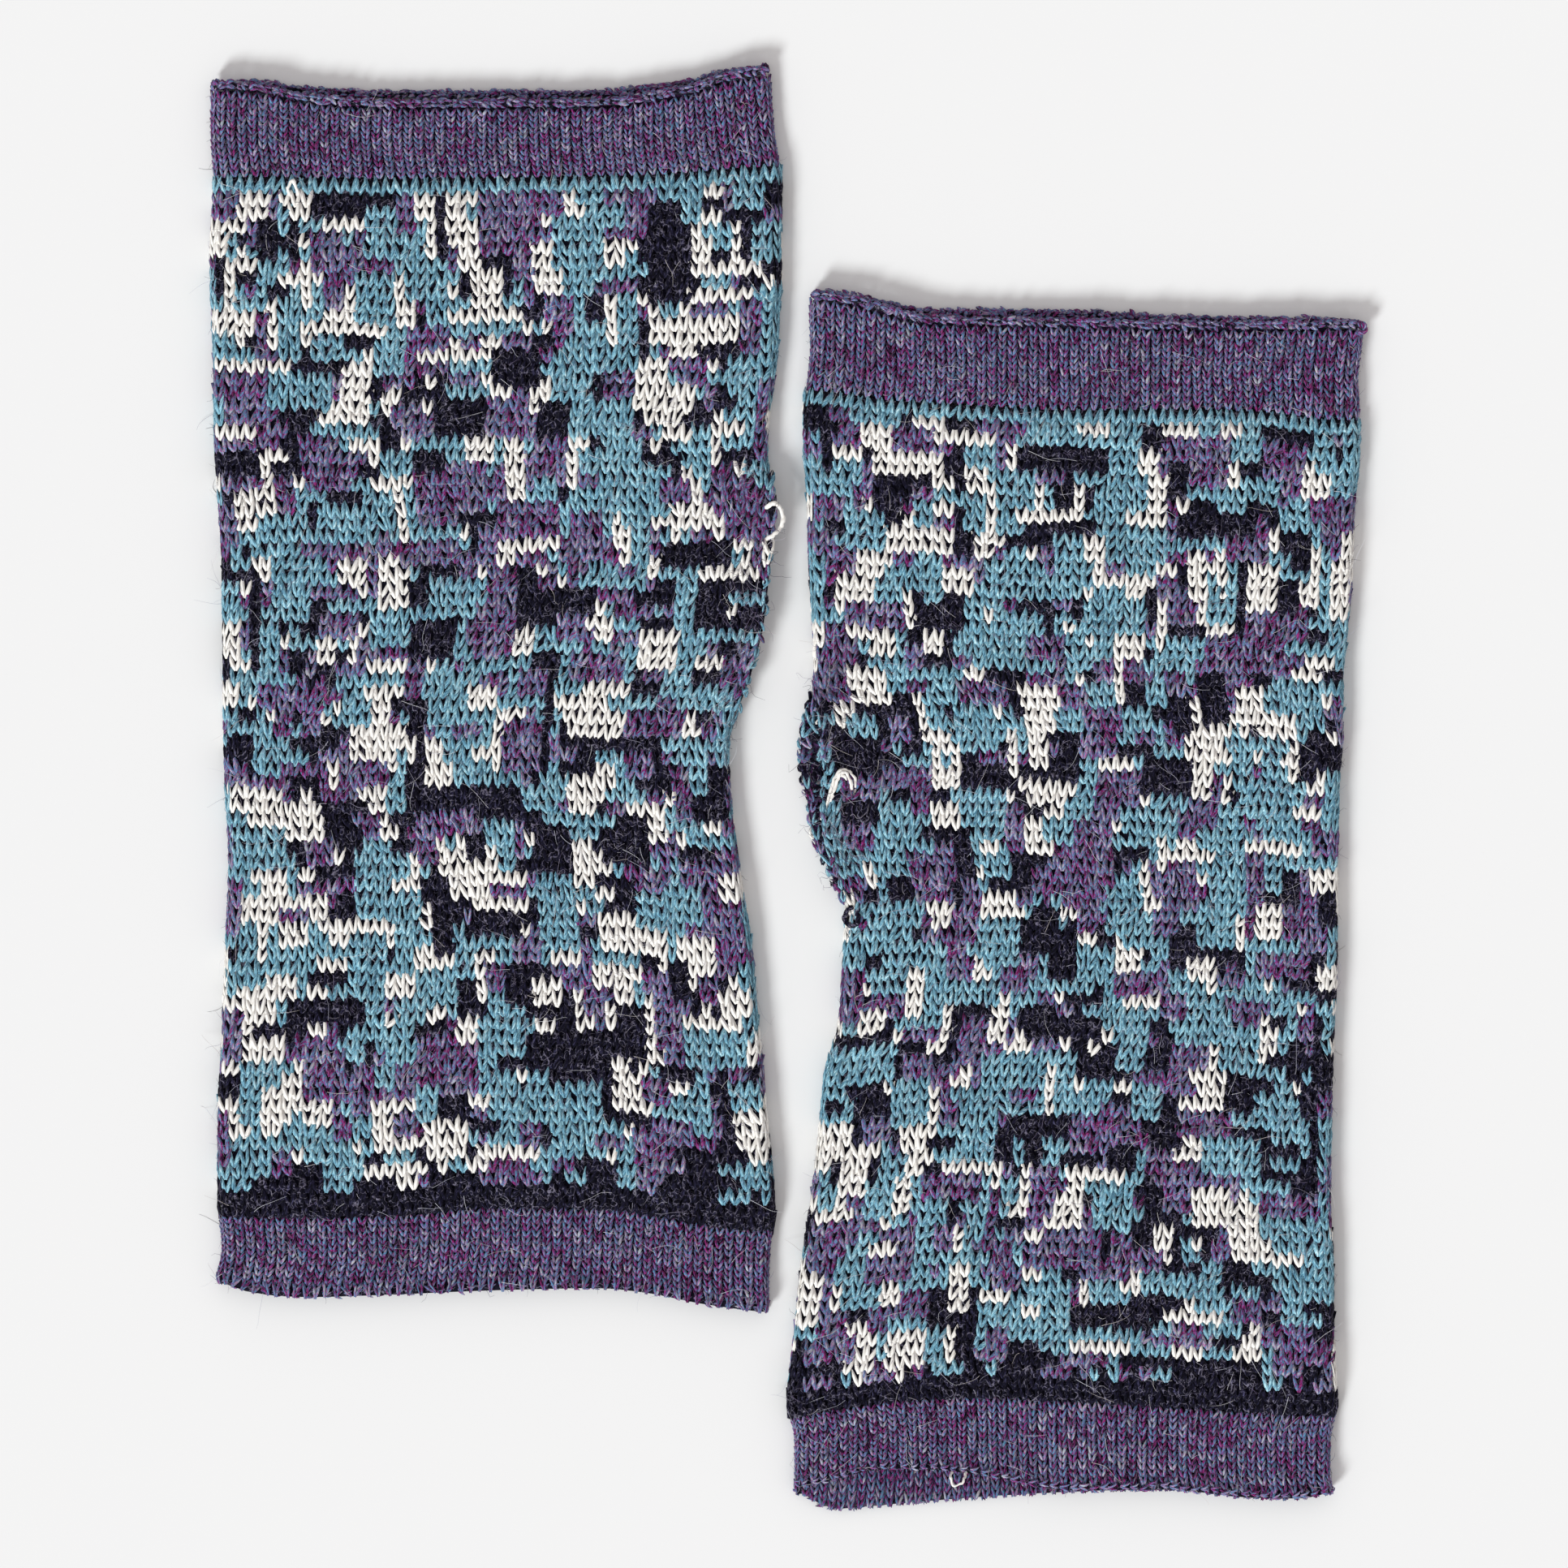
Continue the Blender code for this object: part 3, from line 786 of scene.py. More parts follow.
def long_first_row(cloth, made, chart, random):
    """The stitches with their first row drawn out long and leaning, as on a cast-on edge."""
    name = cloth.mitten.name
    first = np.arange(chart.size) < chart.shape[1]
    same = np.ones(chart.size)
    stretch = np.where(first, random.uniform(*FIRST_ROW_LONG, chart.size), 1.0)
    lean = np.where(first, random.normal(0, FIRST_ROW_LEAN, chart.size), 0.0)
    width = np.where(first, FIRST_ROW_WIDE, 1.0)
    # Painted shade: on the right cuff the first row is painted darker, as the shade that it sinks into
    light = np.where(first, 1 - FIRST_ROW_PAINTED_SHADE[name], 1.0)
    sunk = np.where(first, FIRST_ROW_SUNK[name], 0.0)[:, None]
    raised = (FIRST_ROW_UP * (stretch - 1) * JERSEY.gauge.row)[:, None]
    return made._replace(
        place=made.place + raised * made.upward - sunk * made.outward,
        upward=tilted(made.upward, np.cross(made.upward, made.outward), lean),
        size=made.size * np.stack((width, stretch, same), axis=-1),
        tint=made.tint * np.stack((light, same, same), axis=-1),
    )


def cast_on(cloth, random):
    """The chain that the arm cuff begins with, along its edge."""
    name = cloth.mitten.name
    spread = CAST_ON_SPREAD
    column = np.arange(WALES) + 0.5 + random.normal(0, spread.along, WALES)
    length = cloth.at(column / WALES, 0.0 * column).length
    up = CAST_ON_UP + random.normal(0, spread.up, WALES)
    row_at = cloth.piece.knit.rows * up / length
    made = stitches_on(cloth, column, row_at, np.full(WALES, HEATHER), random)
    along = unit(np.gradient(made.place, axis=0))
    way = np.sign(np.sum(along * np.cross(made.upward, made.outward), axis=1, keepdims=True))
    sideways = tilted(way * along, made.upward, random.normal(0, spread.turn, WALES))
    lean = CAST_ON_LEAN + random.normal(0, spread.lean, WALES)
    return in_full(
        made,
        place=made.place - CAST_ON_SUNK[name] * made.outward,
        outward=tilted(made.outward, -made.upward, lean),
        upward=sideways,
        size=made.size * EDGE_SIZE * random.uniform(*CAST_ON_SCALES, (WALES, 1)),
        # Painted light: on the right cuff the chain's tint is raised, so that it shows lighter, as if lit
        tint=made.tint + CAST_ON_PAINTED_LIGHT[name] * (1 - made.tint) * (1, 0, 0),
    )


def inner_slit(inner, chart, random):
    """The inner side beside the slit: mixed yarns along the edge, and tangled ends across."""
    _, row = sewn_and_open(inner)
    near = np.arange(INNER_WALES)
    column = np.concatenate((near, WALES - 1 - near))
    row, column = (index.ravel() for index in np.meshgrid(row, column, indexing="ij"))
    count = len(row)
    at_edge = (column == 0) | (column == WALES - 1)
    dark = random.random(count) < INNER_NAVY
    mixed = random.choice(len(EDGE_YARNS), count, p=EDGE_YARNS)
    yarn = np.where(at_edge, mixed, np.where(dark, NAVY, chart[row, column]))
    loose = random.normal(0.5, np.where(at_edge, AT_EDGE.place, BEHIND_EDGE.place), (2, count))
    bars = stitches_on(inner, column + loose[0], row + loose[1], yarn, random)
    turn_at_edge = random.normal(math.pi / 2, AT_EDGE.turn, count)
    turn = np.where(at_edge, turn_at_edge, random.normal(0, BEHIND_EDGE.turn, count))
    upward = tilted(np.cross(bars.upward, bars.outward), bars.upward, turn)
    size = bars.size * random.uniform(*INNER_SCALES, (count, 1))
    return in_full(bars, place=bars.place + INNER_LIFT * bars.outward, upward=upward, size=size)


def inner_edge(inner, random):
    """The first rows on the inner side of the back layer, which show past the front edge, painted darker
    as the shade under it.
    """
    row, column = (index.ravel() for index in np.indices((INNER_ROWS, WALES // 2)))
    made = stitches_on(inner, column + 0.5, row + 0.5, np.full(len(row), HEATHER), random)
    # Painted shade: these rows are darkened as if under the front edge
    tint = made.tint * (1 - INNER_EDGE_PAINTED_SHADE, 1, 1)
    return in_full(made, place=made.place + INNER_LIFT * made.outward, tint=tint)


def rim_line(mitten, edge):
    """Points along the middle of the rim, with the ways out of the cloth, along and to the end."""
    ring = ring_of(READ_FORM)
    y = edge(ring.across, front_share(ring)) - RIM_DIAMETER / 2
    along, z, out_along, out_z = wall_line(mitten, side_curves(mitten), y, RIM_DIAMETER, ring)
    z = clear_of_seam(z, RIM_DIAMETER, ring)
    points = np.stack((mitten.thumb_way * along, y, z), axis=-1)
    outward = np.stack((mitten.thumb_way * out_along, 0 * y, out_z), axis=-1)
    way = np.append(0.0, np.cumsum(np.linalg.norm(np.diff(points, axis=0), axis=1)))
    even = (np.arange(round(way[-1] / RIM_PITCH)) + 0.5) * RIM_PITCH
    place, out = (read_evenly(even, way, field) for field in (points, outward))
    tangent = unit(np.gradient(place, axis=0))
    out = unit(out - np.sum(out * tangent, axis=1, keepdims=True) * tangent)
    endward = mitten.thumb_way * np.cross(out, tangent)
    return place, out, tangent, endward


def rim_chain(mitten, edge, random):
    """The bound-off chain: V stitches that lie along the rim, in strips."""
    place, out, tangent, endward = rim_line(mitten, edge)
    count = len(place)
    strips = []
    for degrees in RIM_STRIPS:
        lean = math.radians(degrees) + random.normal(0, RIM_LEAN_SPREAD, count)
        face = tilted(out, endward, lean)
        across = tilted(endward, -out, lean)
        strips.append(
            Stitches(
                place + RIM_CORE * face + random.normal(0, RIM_UNEVEN, (count, 3)),
                face,
                tilted(mitten.thumb_way * tangent, across, random.normal(0, RIM_TURN_SPREAD, count)),
                random.normal(RIM_SIZE, RIM_SIZE_SPREAD, (count, 3)),
                random.random((count, 3)),
                np.zeros(count, bool),
                np.full(count, HEATHER),
            )
        )
    return joined(strips)


def carry(mesh, name, values):
    """Gives each point of the mesh a vector."""
    mesh.attributes.new(name, "FLOAT_VECTOR", "POINT").data.foreach_set("vector", values.ravel())


def point_mesh(name, stitches):
    """One point for each stitch, that carries its directions, size and tint."""
    mesh = bpy.data.meshes.new(name)
    mesh.vertices.add(len(stitches.place))
    mesh.vertices.foreach_set("co", (stitches.place * MM).ravel())
    for field in ("outward", "upward", "size", "tint"):
        carry(mesh, field, getattr(stitches, field))
    mesh.attributes.new("plain", "BOOLEAN", "POINT").data.foreach_set("value", stitches.plain)
    return mesh


def smoothed(points):
    """A soft line through the points."""
    points = np.array(points)
    ends = np.concatenate((points[:1], points, points[-1:]))
    share = np.arange(THREAD_STEPS)[:, None] / THREAD_STEPS
    line = []
    for before, start, stop, after in zip(ends, ends[1:], ends[2:], ends[3:]):
        leaving, arriving = (stop - before) / 2, (after - start) / 2
        line.append(
            start * (1 + 2 * share) * (1 - share) ** 2
            + leaving * share * (1 - share) ** 2
            + stop * share**2 * (3 - 2 * share)
            - arriving * share**2 * (1 - share)
        )
    return np.concatenate((*line, points[-1:]))


def line_mesh(name, points, random):
    """A line of edges through the points, with one tint."""
    line = smoothed(points) * MM
    mesh = bpy.data.meshes.new(name)
    mesh.from_pydata(line.tolist(), [(i, i + 1) for i in range(len(line) - 1)], [])
    carry(mesh, "tint", np.tile(random.random(3), (len(line), 1)))
    return mesh


def add_node(tree, kind, inputs=None, **settings):
    """A node with its settings, and its inputs given values or linked from other sockets."""
    node = tree.nodes.new(kind)
    for name, value in settings.items():
        setattr(node, name, value)
    for name, value in (inputs or {}).items():
        socket = node.inputs[name]
        if isinstance(value, bpy.types.NodeSocket):
            tree.links.new(value, socket)
        else:
            socket.default_value = value
    return node


def maths(tree, operation, first, second=0.0, third=0.0):
    node = add_node(tree, "ShaderNodeMath", {0: first, 1: second, 2: third}, operation=operation)
    return node.outputs[0]


def vectors(tree, operation, first, second=(0, 0, 0)):
    node = add_node(tree, "ShaderNodeVectorMath", {0: first, 1: second}, operation=operation)
    return node.outputs[0]


def scaled(tree, vector, scale):
    node = add_node(tree, "ShaderNodeVectorMath", {0: vector, "Scale": scale}, operation="SCALE")
    return node.outputs[0]


def source(tree, kind, output=0):
    """What a node without inputs reads."""
    return add_node(tree, kind).outputs[output]


def parts_of(tree, vector):
    return add_node(tree, "ShaderNodeSeparateXYZ", {0: vector}).outputs


def combined(tree, x, y, z):
    return add_node(tree, "ShaderNodeCombineXYZ", {"X": x, "Y": y, "Z": z}).outputs[0]


def changed(tree, kind, geometry, inputs=None, **settings):
    """The geometry after a node of that kind."""
    return add_node(tree, kind, {0: geometry, **(inputs or {})}, **settings).outputs[0]


def together(tree, parts):
    node = add_node(tree, "GeometryNodeJoinGeometry")
    for part in parts:
        tree.links.new(part, node.inputs[0])
    return node.outputs[0]


def captured(tree, geometry, kind, value):
    """The geometry once it carries the value, and the value as it carries it."""
    node = add_node(tree, "GeometryNodeCaptureAttribute", {"Geometry": geometry})
    node.capture_items.new(kind, "Value")
    tree.links.new(value, node.inputs["Value"])
    return node.outputs["Geometry"], node.outputs["Value"]


def circle(tree, parts, radius):
    inputs = {"Resolution": parts, "Radius": radius}
    return add_node(tree, "GeometryNodeCurvePrimitiveCircle", inputs).outputs["Curve"]


def wandering(tree, noise):
    """The noise's colour as a way to go, as often one way as the other."""
    return vectors(tree, "SUBTRACT", noise.outputs["Color"], (0.5, 0.5, 0.5))


def new_tree(name, **sizes):
    """A Geometry Nodes tree with named inputs of each kind, and its input and output nodes."""
    tree = bpy.data.node_groups.new(name, "GeometryNodeTree")
    tree.interface.new_socket(name="Geometry", in_out="OUTPUT", socket_type="NodeSocketGeometry")
    inputs = {"Geometry": ("Geometry",), **sizes, "Material": ("Material",)}
    for kind, labels in inputs.items():
        for label in labels:
            tree.interface.new_socket(name=label, in_out="INPUT", socket_type="NodeSocket" + kind)
    given = tree.nodes.new("NodeGroupInput").outputs
    result = tree.nodes.new("NodeGroupOutput").inputs
    return tree, given, result


def in_scene(name, data):
    obj = bpy.data.objects.new(name, data)
    bpy.context.scene.collection.objects.link(obj)
    return obj


def grown(name, mesh, tree, values):
    """The plain mesh that the tree makes from a mesh of points."""
    holder = in_scene(name, mesh)
    modifier = holder.modifiers.new("yarn", "NODES")
    modifier.node_group = tree
    for socket in tree.interface.items_tree:
        if socket.in_out == "INPUT" and socket.name in values:
            modifier[socket.identifier] = values[socket.name]
    graph = bpy.context.evaluated_depsgraph_get()
    made = bpy.data.meshes.new_from_object(
        holder.evaluated_get(graph), preserve_all_data_layers=True, depsgraph=graph
    )
    bpy.data.objects.remove(holder, do_unlink=True)
    bpy.data.meshes.remove(mesh)
    made.name = name
    for field in ("outward", "upward", "size", "plain"):
        if field in made.attributes:
            made.attributes.remove(made.attributes[field])
    return made


def yarn_tube(tree, curve, sides, radius, share, start=0.0):
    """A tube of yarn along a curve, tapered by share, that keeps the place of each point in the yarn."""
    length = source(tree, "GeometryNodeSplineParameter", "Length")
    rail, way = captured(tree, curve, "FLOAT", length)
    position = source(tree, "GeometryNodeInputPosition")
    profile, place = captured(tree, circle(tree, sides, 1.0), "VECTOR", position)
    width = maths(tree, "MULTIPLY", radius, share)
    section = {"Profile Curve": profile, "Scale": width, "Fill Caps": True}
    tube = changed(tree, "GeometryNodeCurveToMesh", rail, section)
    across = parts_of(tree, place)
    in_yarn = combined(
        tree,
        maths(tree, "MULTIPLY", across["X"], radius),
        maths(tree, "ADD", way, start * MM),
        maths(tree, "MULTIPLY", across["Y"], radius),
    )
    kept = {"Name": "yarn", "Value": in_yarn}
    kind = {"data_type": "FLOAT_VECTOR", "domain": "POINT"}
    return changed(tree, "GeometryNodeStoreNamedAttribute", tube, kept, **kind)


def leg_share(tree):
    """The width of a leg along it: full near its foot, and fine at its head."""
    factor = source(tree, "GeometryNodeSplineParameter", "Factor")
    turn = maths(tree, "MULTIPLY_ADD", factor, (1 - FOOT_TURN) * math.pi, FOOT_TURN * math.pi)
    return maths(tree, "MULTIPLY_ADD", maths(tree, "SINE", turn), 1 - FINE_ENDS, FINE_ENDS)


def named(tree, name, kind="FLOAT_VECTOR"):
    node = add_node(tree, "GeometryNodeInputNamedAttribute", {"Name": name}, data_type=kind)
    return node.outputs["Attribute"]


def mirrored_legs(tree, given, make_leg):
    """A V of two legs, the right one from the given points and the left one mirrored."""
    legs = []
    for way in (1.0, -1.0):
        points = [vectors(tree, "MULTIPLY", given[at], (way, 1.0, 1.0)) for at in ("Foot", "Bend", "Head")]
        legs.append(make_leg(*points, way * LEG_APART))
    return together(tree, legs)


def upright(tree, curve, tilt):
    """The curve with its sides set by the way out of the cloth, and then turned by the tilt."""
    standing = changed(tree, "GeometryNodeSetCurveNormal", curve, mode="Z_UP")
    return changed(tree, "GeometryNodeSetCurveTilt", standing, {"Tilt": tilt})


def fine_legs(tree, given):
    """Legs that bulge out of the cloth, pointed at both ends, with an edge of the yarn upwards."""

    def leg(foot, bend, head, start):
        points = {"Resolution": given["Parts"], "Start": foot, "Middle": bend, "End": head}
        curve = add_node(tree, "GeometryNodeCurveQuadraticBezier", points).outputs[0]
        turned = upright(tree, curve, EDGE_UP)
        return yarn_tube(tree, turned, given["Sides"], given["Yarn radius"], leg_share(tree), start)

    return mirrored_legs(tree, given, leg)


def plain_legs(tree, given):
    """Straight legs with few faces, for the side that nobody sees."""

    def leg(foot, _, head, start):
        ends = {"Start": foot, "End": head}
        curve = add_node(tree, "GeometryNodeCurvePrimitiveLine", ends).outputs[0]
        turned = upright(tree, curve, -EDGE_UP)
        factor = source(tree, "GeometryNodeSplineParameter", "Factor")
        share = maths(tree, "MULTIPLY_ADD", factor, -PLAIN_TAPER, 1.0)
        return yarn_tube(tree, turned, TUBE_SIDES, given["Yarn radius"], share, start)

    return mirrored_legs(tree, given, leg)


def placed(tree, points, shape, chosen):
    """The shape on each chosen point, turned and scaled as the point says."""
    ways = {"Primary Axis": named(tree, "outward"), "Secondary Axis": named(tree, "upward")}
    axes = {"primary_axis": "Z", "secondary_axis": "Y"}
    turned = add_node(tree, "FunctionNodeAxesToRotation", ways, **axes).outputs[0]
    copies = {"Selection": chosen, "Instance": shape, "Rotation": turned, "Scale": named(tree, "size")}
    return changed(tree, "GeometryNodeInstanceOnPoints", points, copies)


def finished(tree, geometry, given, result):
    """Made real, kept above the surface that the mittens lie on, smooth and with its material."""
    real = changed(tree, "GeometryNodeRealizeInstances", geometry)
    place = parts_of(tree, source(tree, "GeometryNodeInputPosition"))
    kept = combined(tree, place["X"], place["Y"], maths(tree, "MAXIMUM", place["Z"], 0.0))
    above = changed(tree, "GeometryNodeSetPosition", real, {"Position": kept})
    smooth = changed(tree, "GeometryNodeSetShadeSmooth", above)
    dressed = changed(tree, "GeometryNodeSetMaterial", smooth, {"Material": given["Material"]})
    tree.links.new(dressed, result[0])
    return tree


def stitch_tree():
    """A V on each point, in full where it shows and with few faces on the underside."""
    sizes = {"Vector": ("Foot", "Bend", "Head"), "Float": ("Yarn radius",), "Int": ("Parts", "Sides")}
    tree, given, result = new_tree("stitches", **sizes)
    plain = named(tree, "plain", "BOOLEAN")
    shown = add_node(tree, "FunctionNodeBooleanMath", {0: plain}, operation="NOT").outputs[0]
    fine = placed(tree, given["Geometry"], fine_legs(tree, given), shown)
    few = placed(tree, given["Geometry"], plain_legs(tree, given), plain)
    return finished(tree, together(tree, (fine, few)), given, result)


def loop_tree():
    """A ring of yarn on each point."""
    sizes = {"Float": ("Loop radius", "Yarn radius"), "Int": ("Parts", "Sides")}
    tree, given, result = new_tree("loops", **sizes)
    ring = circle(tree, given["Parts"], given["Loop radius"])
    flat = changed(tree, "GeometryNodeSetCurveNormal", ring, mode="Z_UP")
    tube = yarn_tube(tree, flat, given["Sides"], given["Yarn radius"], 1.0)
    return finished(tree, placed(tree, given["Geometry"], tube, True), given, result)


def thread_tree():
    """An uneven thread along each line of edges."""
    tree, given, result = new_tree("threads", Float=("Yarn radius",), Int=("Sides",))
    curve = changed(tree, "GeometryNodeMeshToCurve", given["Geometry"])
    noise = add_node(tree, "ShaderNodeTexNoise", {"Scale": THREAD_WAVES, "Detail": 1.0})
    sway = scaled(tree, wandering(tree, noise), THREAD_SWAY * MM)
    moved = changed(tree, "GeometryNodeSetPosition", curve, {"Offset": sway})
    share = maths(tree, "MULTIPLY_ADD", noise.outputs["Fac"], THREAD_SWELL, THREAD_THINNEST)
    tube = yarn_tube(tree, moved, given["Sides"], given["Yarn radius"], share)
    return finished(tree, tube, given, result)


def hair_tree():
    """A thin fibre from each point, that starts the way it leans and then curls."""
    sizes = {"Float": ("Curl", "Curl size", "Flatness", "Fibre radius"), "Int": ("Parts",)}
    tree, given, result = new_tree("fibres", **sizes)
    line = add_node(tree, "GeometryNodeCurvePrimitiveLine", {"End": (0.0, 0.0, 1.0)}).outputs[0]
    fibre = changed(tree, "GeometryNodeResampleCurve", line, {"Count": given["Parts"]})
    fibres = placed(tree, given["Geometry"], fibre, True)
    real = changed(tree, "GeometryNodeRealizeInstances", fibres)
    factor = source(tree, "GeometryNodeSplineParameter", "Factor")
    own = parts_of(tree, named(tree, "tint"))["X"]
    waves = {
        "Vector": source(tree, "GeometryNodeInputPosition"),
        "W": maths(tree, "MULTIPLY", own, HAIRS_APART),
        "Scale": given["Curl size"],
        "Detail": HAIR_DETAIL,
    }
    noise = add_node(tree, "ShaderNodeTexNoise", waves, noise_dimensions="4D")
    flat = combined(tree, 1.0, 1.0, given["Flatness"])
    bend = vectors(tree, "MULTIPLY", wandering(tree, noise), flat)
    curl = scaled(tree, bend, maths(tree, "MULTIPLY", factor, given["Curl"]))
    moved = changed(tree, "GeometryNodeSetPosition", real, {"Offset": curl})
    taper = maths(tree, "MULTIPLY_ADD", factor, -HAIR_TAPER, 1.0)
    return finished(tree, yarn_tube(tree, moved, TUBE_SIDES, given["Fibre radius"], taper), given, result)


# Yarn colours, 0 to 255 a channel
Shade = namedtuple("Shade", "place red green blue")
TEAL_SHADES = (
    Shade(0.30, 56, 94, 118),
    Shade(0.42, 98, 150, 174),
    Shade(0.53, 126, 177, 197),
    Shade(0.64, 160, 208, 220),
    Shade(0.74, 208, 234, 240),
)
IVORY_SHADES = (
    Shade(0.28, 228, 222, 214),
    Shade(0.45, 246, 242, 236),
    Shade(0.65, 252, 250, 246),
)
NAVY_SHADES = (
    Shade(0.30, 6, 6, 15),
    Shade(0.50, 17, 15, 31),
    Shade(0.62, 29, 27, 48),
    Shade(0.78, 74, 72, 102),
)
HEATHER_SHADES = (
    Shade(0.31, 32, 20, 46),
    Shade(0.38, 162, 42, 120),
    Shade(0.43, 72, 46, 104),
    Shade(0.48, 98, 86, 142),
    Shade(0.53, 70, 162, 184),
    Shade(0.58, 102, 68, 130),
    Shade(0.63, 170, 68, 124),
    Shade(0.69, 138, 176, 192),
    Shade(0.77, 172, 164, 172),
)
INNER_SHADES = (
    Shade(0.34, 8, 8, 16),
    Shade(0.45, 34, 28, 48),
    Shade(0.50, 96, 60, 112),
    Shade(0.55, 22, 20, 36),
    Shade(0.60, 62, 108, 130),
    Shade(0.70, 160, 150, 158),
)
# The shell's floats, darkened nearly to black as painted shade in the gaps between the stitches
FLOAT_AND_PAINTED_SHADE_COLOURS = (
    Shade(0.30, 5, 5, 12),
    Shade(0.60, 22, 20, 36),
)
STRAY_SHADES = (
    Shade(0.0, 120, 108, 138),
    Shade(0.3, 188, 188, 202),
    Shade(0.65, 228, 228, 236),
    Shade(0.95, 206, 196, 192),
)
FUZZ_SHADES = (
    Shade(0.0, 30, 27, 42),
    Shade(0.45, 62, 52, 78),
    Shade(0.75, 110, 94, 128),
    Shade(0.95, 190, 184, 196),
)

# What every material shares
SPECULAR = 0.08
SHEEN_ROUGHNESS = 0.45
NOISE_ROUGHNESS = 0.55


def new_material(name, roughness, sheen):
    material = bpy.data.materials.new(name)
    material.use_nodes = True
    tree = material.node_tree
    shader = tree.nodes["Principled BSDF"]
    shader.inputs["Roughness"].default_value = roughness
    shader.inputs["Specular IOR Level"].default_value = SPECULAR
    shader.inputs["Sheen Weight"].default_value = sheen
    shader.inputs["Sheen Roughness"].default_value = SHEEN_ROUGHNESS
    return material, tree, shader


def painted(tree, shader, colour):
    tree.links.new(colour, shader.inputs["Base Color"])


def bumped(tree, shader, height, strength, distance):
    """Gives the surface a relief of that many millimetres, at its strength."""
    relief = {"Strength": strength, "Distance": distance * MM, "Height": height}
    tree.links.new(add_node(tree, "ShaderNodeBump", relief).outputs[0], shader.inputs["Normal"])


def colour_ramp(tree, fac, shades):
    node = add_node(tree, "ShaderNodeValToRGB", {"Fac": fac})
    ramp = node.color_ramp
    while len(ramp.elements) < len(shades):
        ramp.elements.new(0.5)
    for element, shade in zip(ramp.elements, shades):
        element.position = shade.place
        element.color = linear(shade.red, shade.green, shade.blue)
    return node.outputs["Color"]


def attribute(tree, name):
    return add_node(tree, "ShaderNodeAttribute", attribute_name=name).outputs["Vector"]


def mix_colour(tree, share, first, second):
    """Two colours mixed by a share. The node's sockets for colours come after its other ones."""
    inputs = {0: share, 6: first, 7: second}
    return add_node(tree, "ShaderNodeMix", inputs, data_type="RGBA").outputs[2]


def noise_at(tree, place, waves, detail, shift=None):
    """Soft noise with that many waves each way, read a shift away."""
    at = vectors(tree, "MULTIPLY", place, waves)
    if shift is not None:
        at = vectors(tree, "ADD", at, shift)
    inputs = {"Vector": at, "Scale": 1.0, "Detail": detail, "Roughness": NOISE_ROUGHNESS}
    return add_node(tree, "ShaderNodeTexNoise", inputs).outputs["Fac"]


# A yarn: its shades, finish, how many streaks lie in a millimetre across and along it, its bump,
# how much one stitch is lighter than another, how much its hue shifts, and how hairy it is
YARN_FIELDS = "name shades slot roughness sheen streak long_streak bump contrast shift hairy"
Yarn = namedtuple("Yarn", YARN_FIELDS)
YARNS = (
    Yarn("teal", TEAL_SHADES, "teal_yarn", 0.85, 0.08, 4.2, 0.40, 0.7, 0.26, 0.08, 0.20),
    Yarn("heather", HEATHER_SHADES, "heather_yarn", 0.9, 0.08, 2.3, 0.50, 0.6, 0.50, 0.22, 0.16),
    Yarn("navy", NAVY_SHADES, "navy_yarn", 0.95, 0.03, 3.2, 0.8, 0.6, 0.40, 0.05, 0.36),
    Yarn("ivory", IVORY_SHADES, "ivory_yarn", 0.8, 0.10, 3.0, 0.4, 0.35, 0.06, 0.03, 0.08),
)

# The fibres in a yarn: how fast they twist, how far one stitch's lie from the next one's in the
# noise, the streaks' detail, and the finer streaks that also raise the surface
TWIST = 1.6
STITCHES_APART = 90.0
STREAK_DETAIL = 1.5
FINE_STREAKS = (11.0, 1.2, 11.0)
FINE_DETAIL = 2.0
FINE_SHARE = 0.5
FIBRE_RELIEF = 0.1

# The hairs that lie on a yarn, in waves to the metre, and the wider waves that break them up, as a
# share of their own
HAIR_WAVES = (650.0, 1100.0)
HAIR_WIDTH = 0.022
HAIR_COLOUR = (168, 162, 186)
LYING_DETAIL = 0.6
BREAK_WAVES = 0.7
BREAK_SHIFT = (7.0, 3.0, 5.0)
BREAK_FROM = 0.45
BREAK_SHARPNESS = 14.0

# The cloth's two other faces, with their waves to the metre and their relief: behind the stitches, dark
# as floats and as painted shade in the gaps, and how hairy it is there, and inside, and how light the gaps
# between its rows are, where they are painted darker as shade
Face = namedtuple("Face", "name roughness sheen waves detail bump relief")
BEHIND = Face("floats_behind", 0.95, 0.1, (900.0, 2600.0, 1500.0), 3.0, 0.6, 0.2)
INSIDE = Face("inner_side", 0.95, 0.2, (600.0, 750.0, 600.0), 3.0, 0.8, 0.4)
BEHIND_HAIRY = 0.4
INSIDE_GAP_PAINTED_SHADE = 0.6
INSIDE_ROWS = {"Scale": 1 / (JACQUARD.gauge.row * MM) / 2, "Distortion": 1.5, "Detail": 2.0}


def lying_hairs(tree, colour, strength):
    """The colour with thin curled hairs over it, which lie across the yarn in broken lines."""
    place = source(tree, "ShaderNodeTexCoord", "Object")
    for waves in HAIR_WAVES:
        line = noise_at(tree, place, (waves,) * 3, LYING_DETAIL)
        off = maths(tree, "ABSOLUTE", maths(tree, "SUBTRACT", line, 0.5))
        near = maths(tree, "SUBTRACT", 1.0, maths(tree, "DIVIDE", off, HAIR_WIDTH))
        breaks = noise_at(tree, place, (waves * BREAK_WAVES,) * 3, 0.0, BREAK_SHIFT)
        whole = maths(tree, "MAXIMUM", maths(tree, "SUBTRACT", breaks, BREAK_FROM), 0.0)
        patchy = maths(tree, "MULTIPLY", maths(tree, "MAXIMUM", near, 0.0), whole)
        sharp = maths(tree, "MULTIPLY", patchy, BREAK_SHARPNESS * strength)
        share = maths(tree, "MINIMUM", sharp, strength)
        colour = mix_colour(tree, share, colour, linear(*HAIR_COLOUR))
    return colour


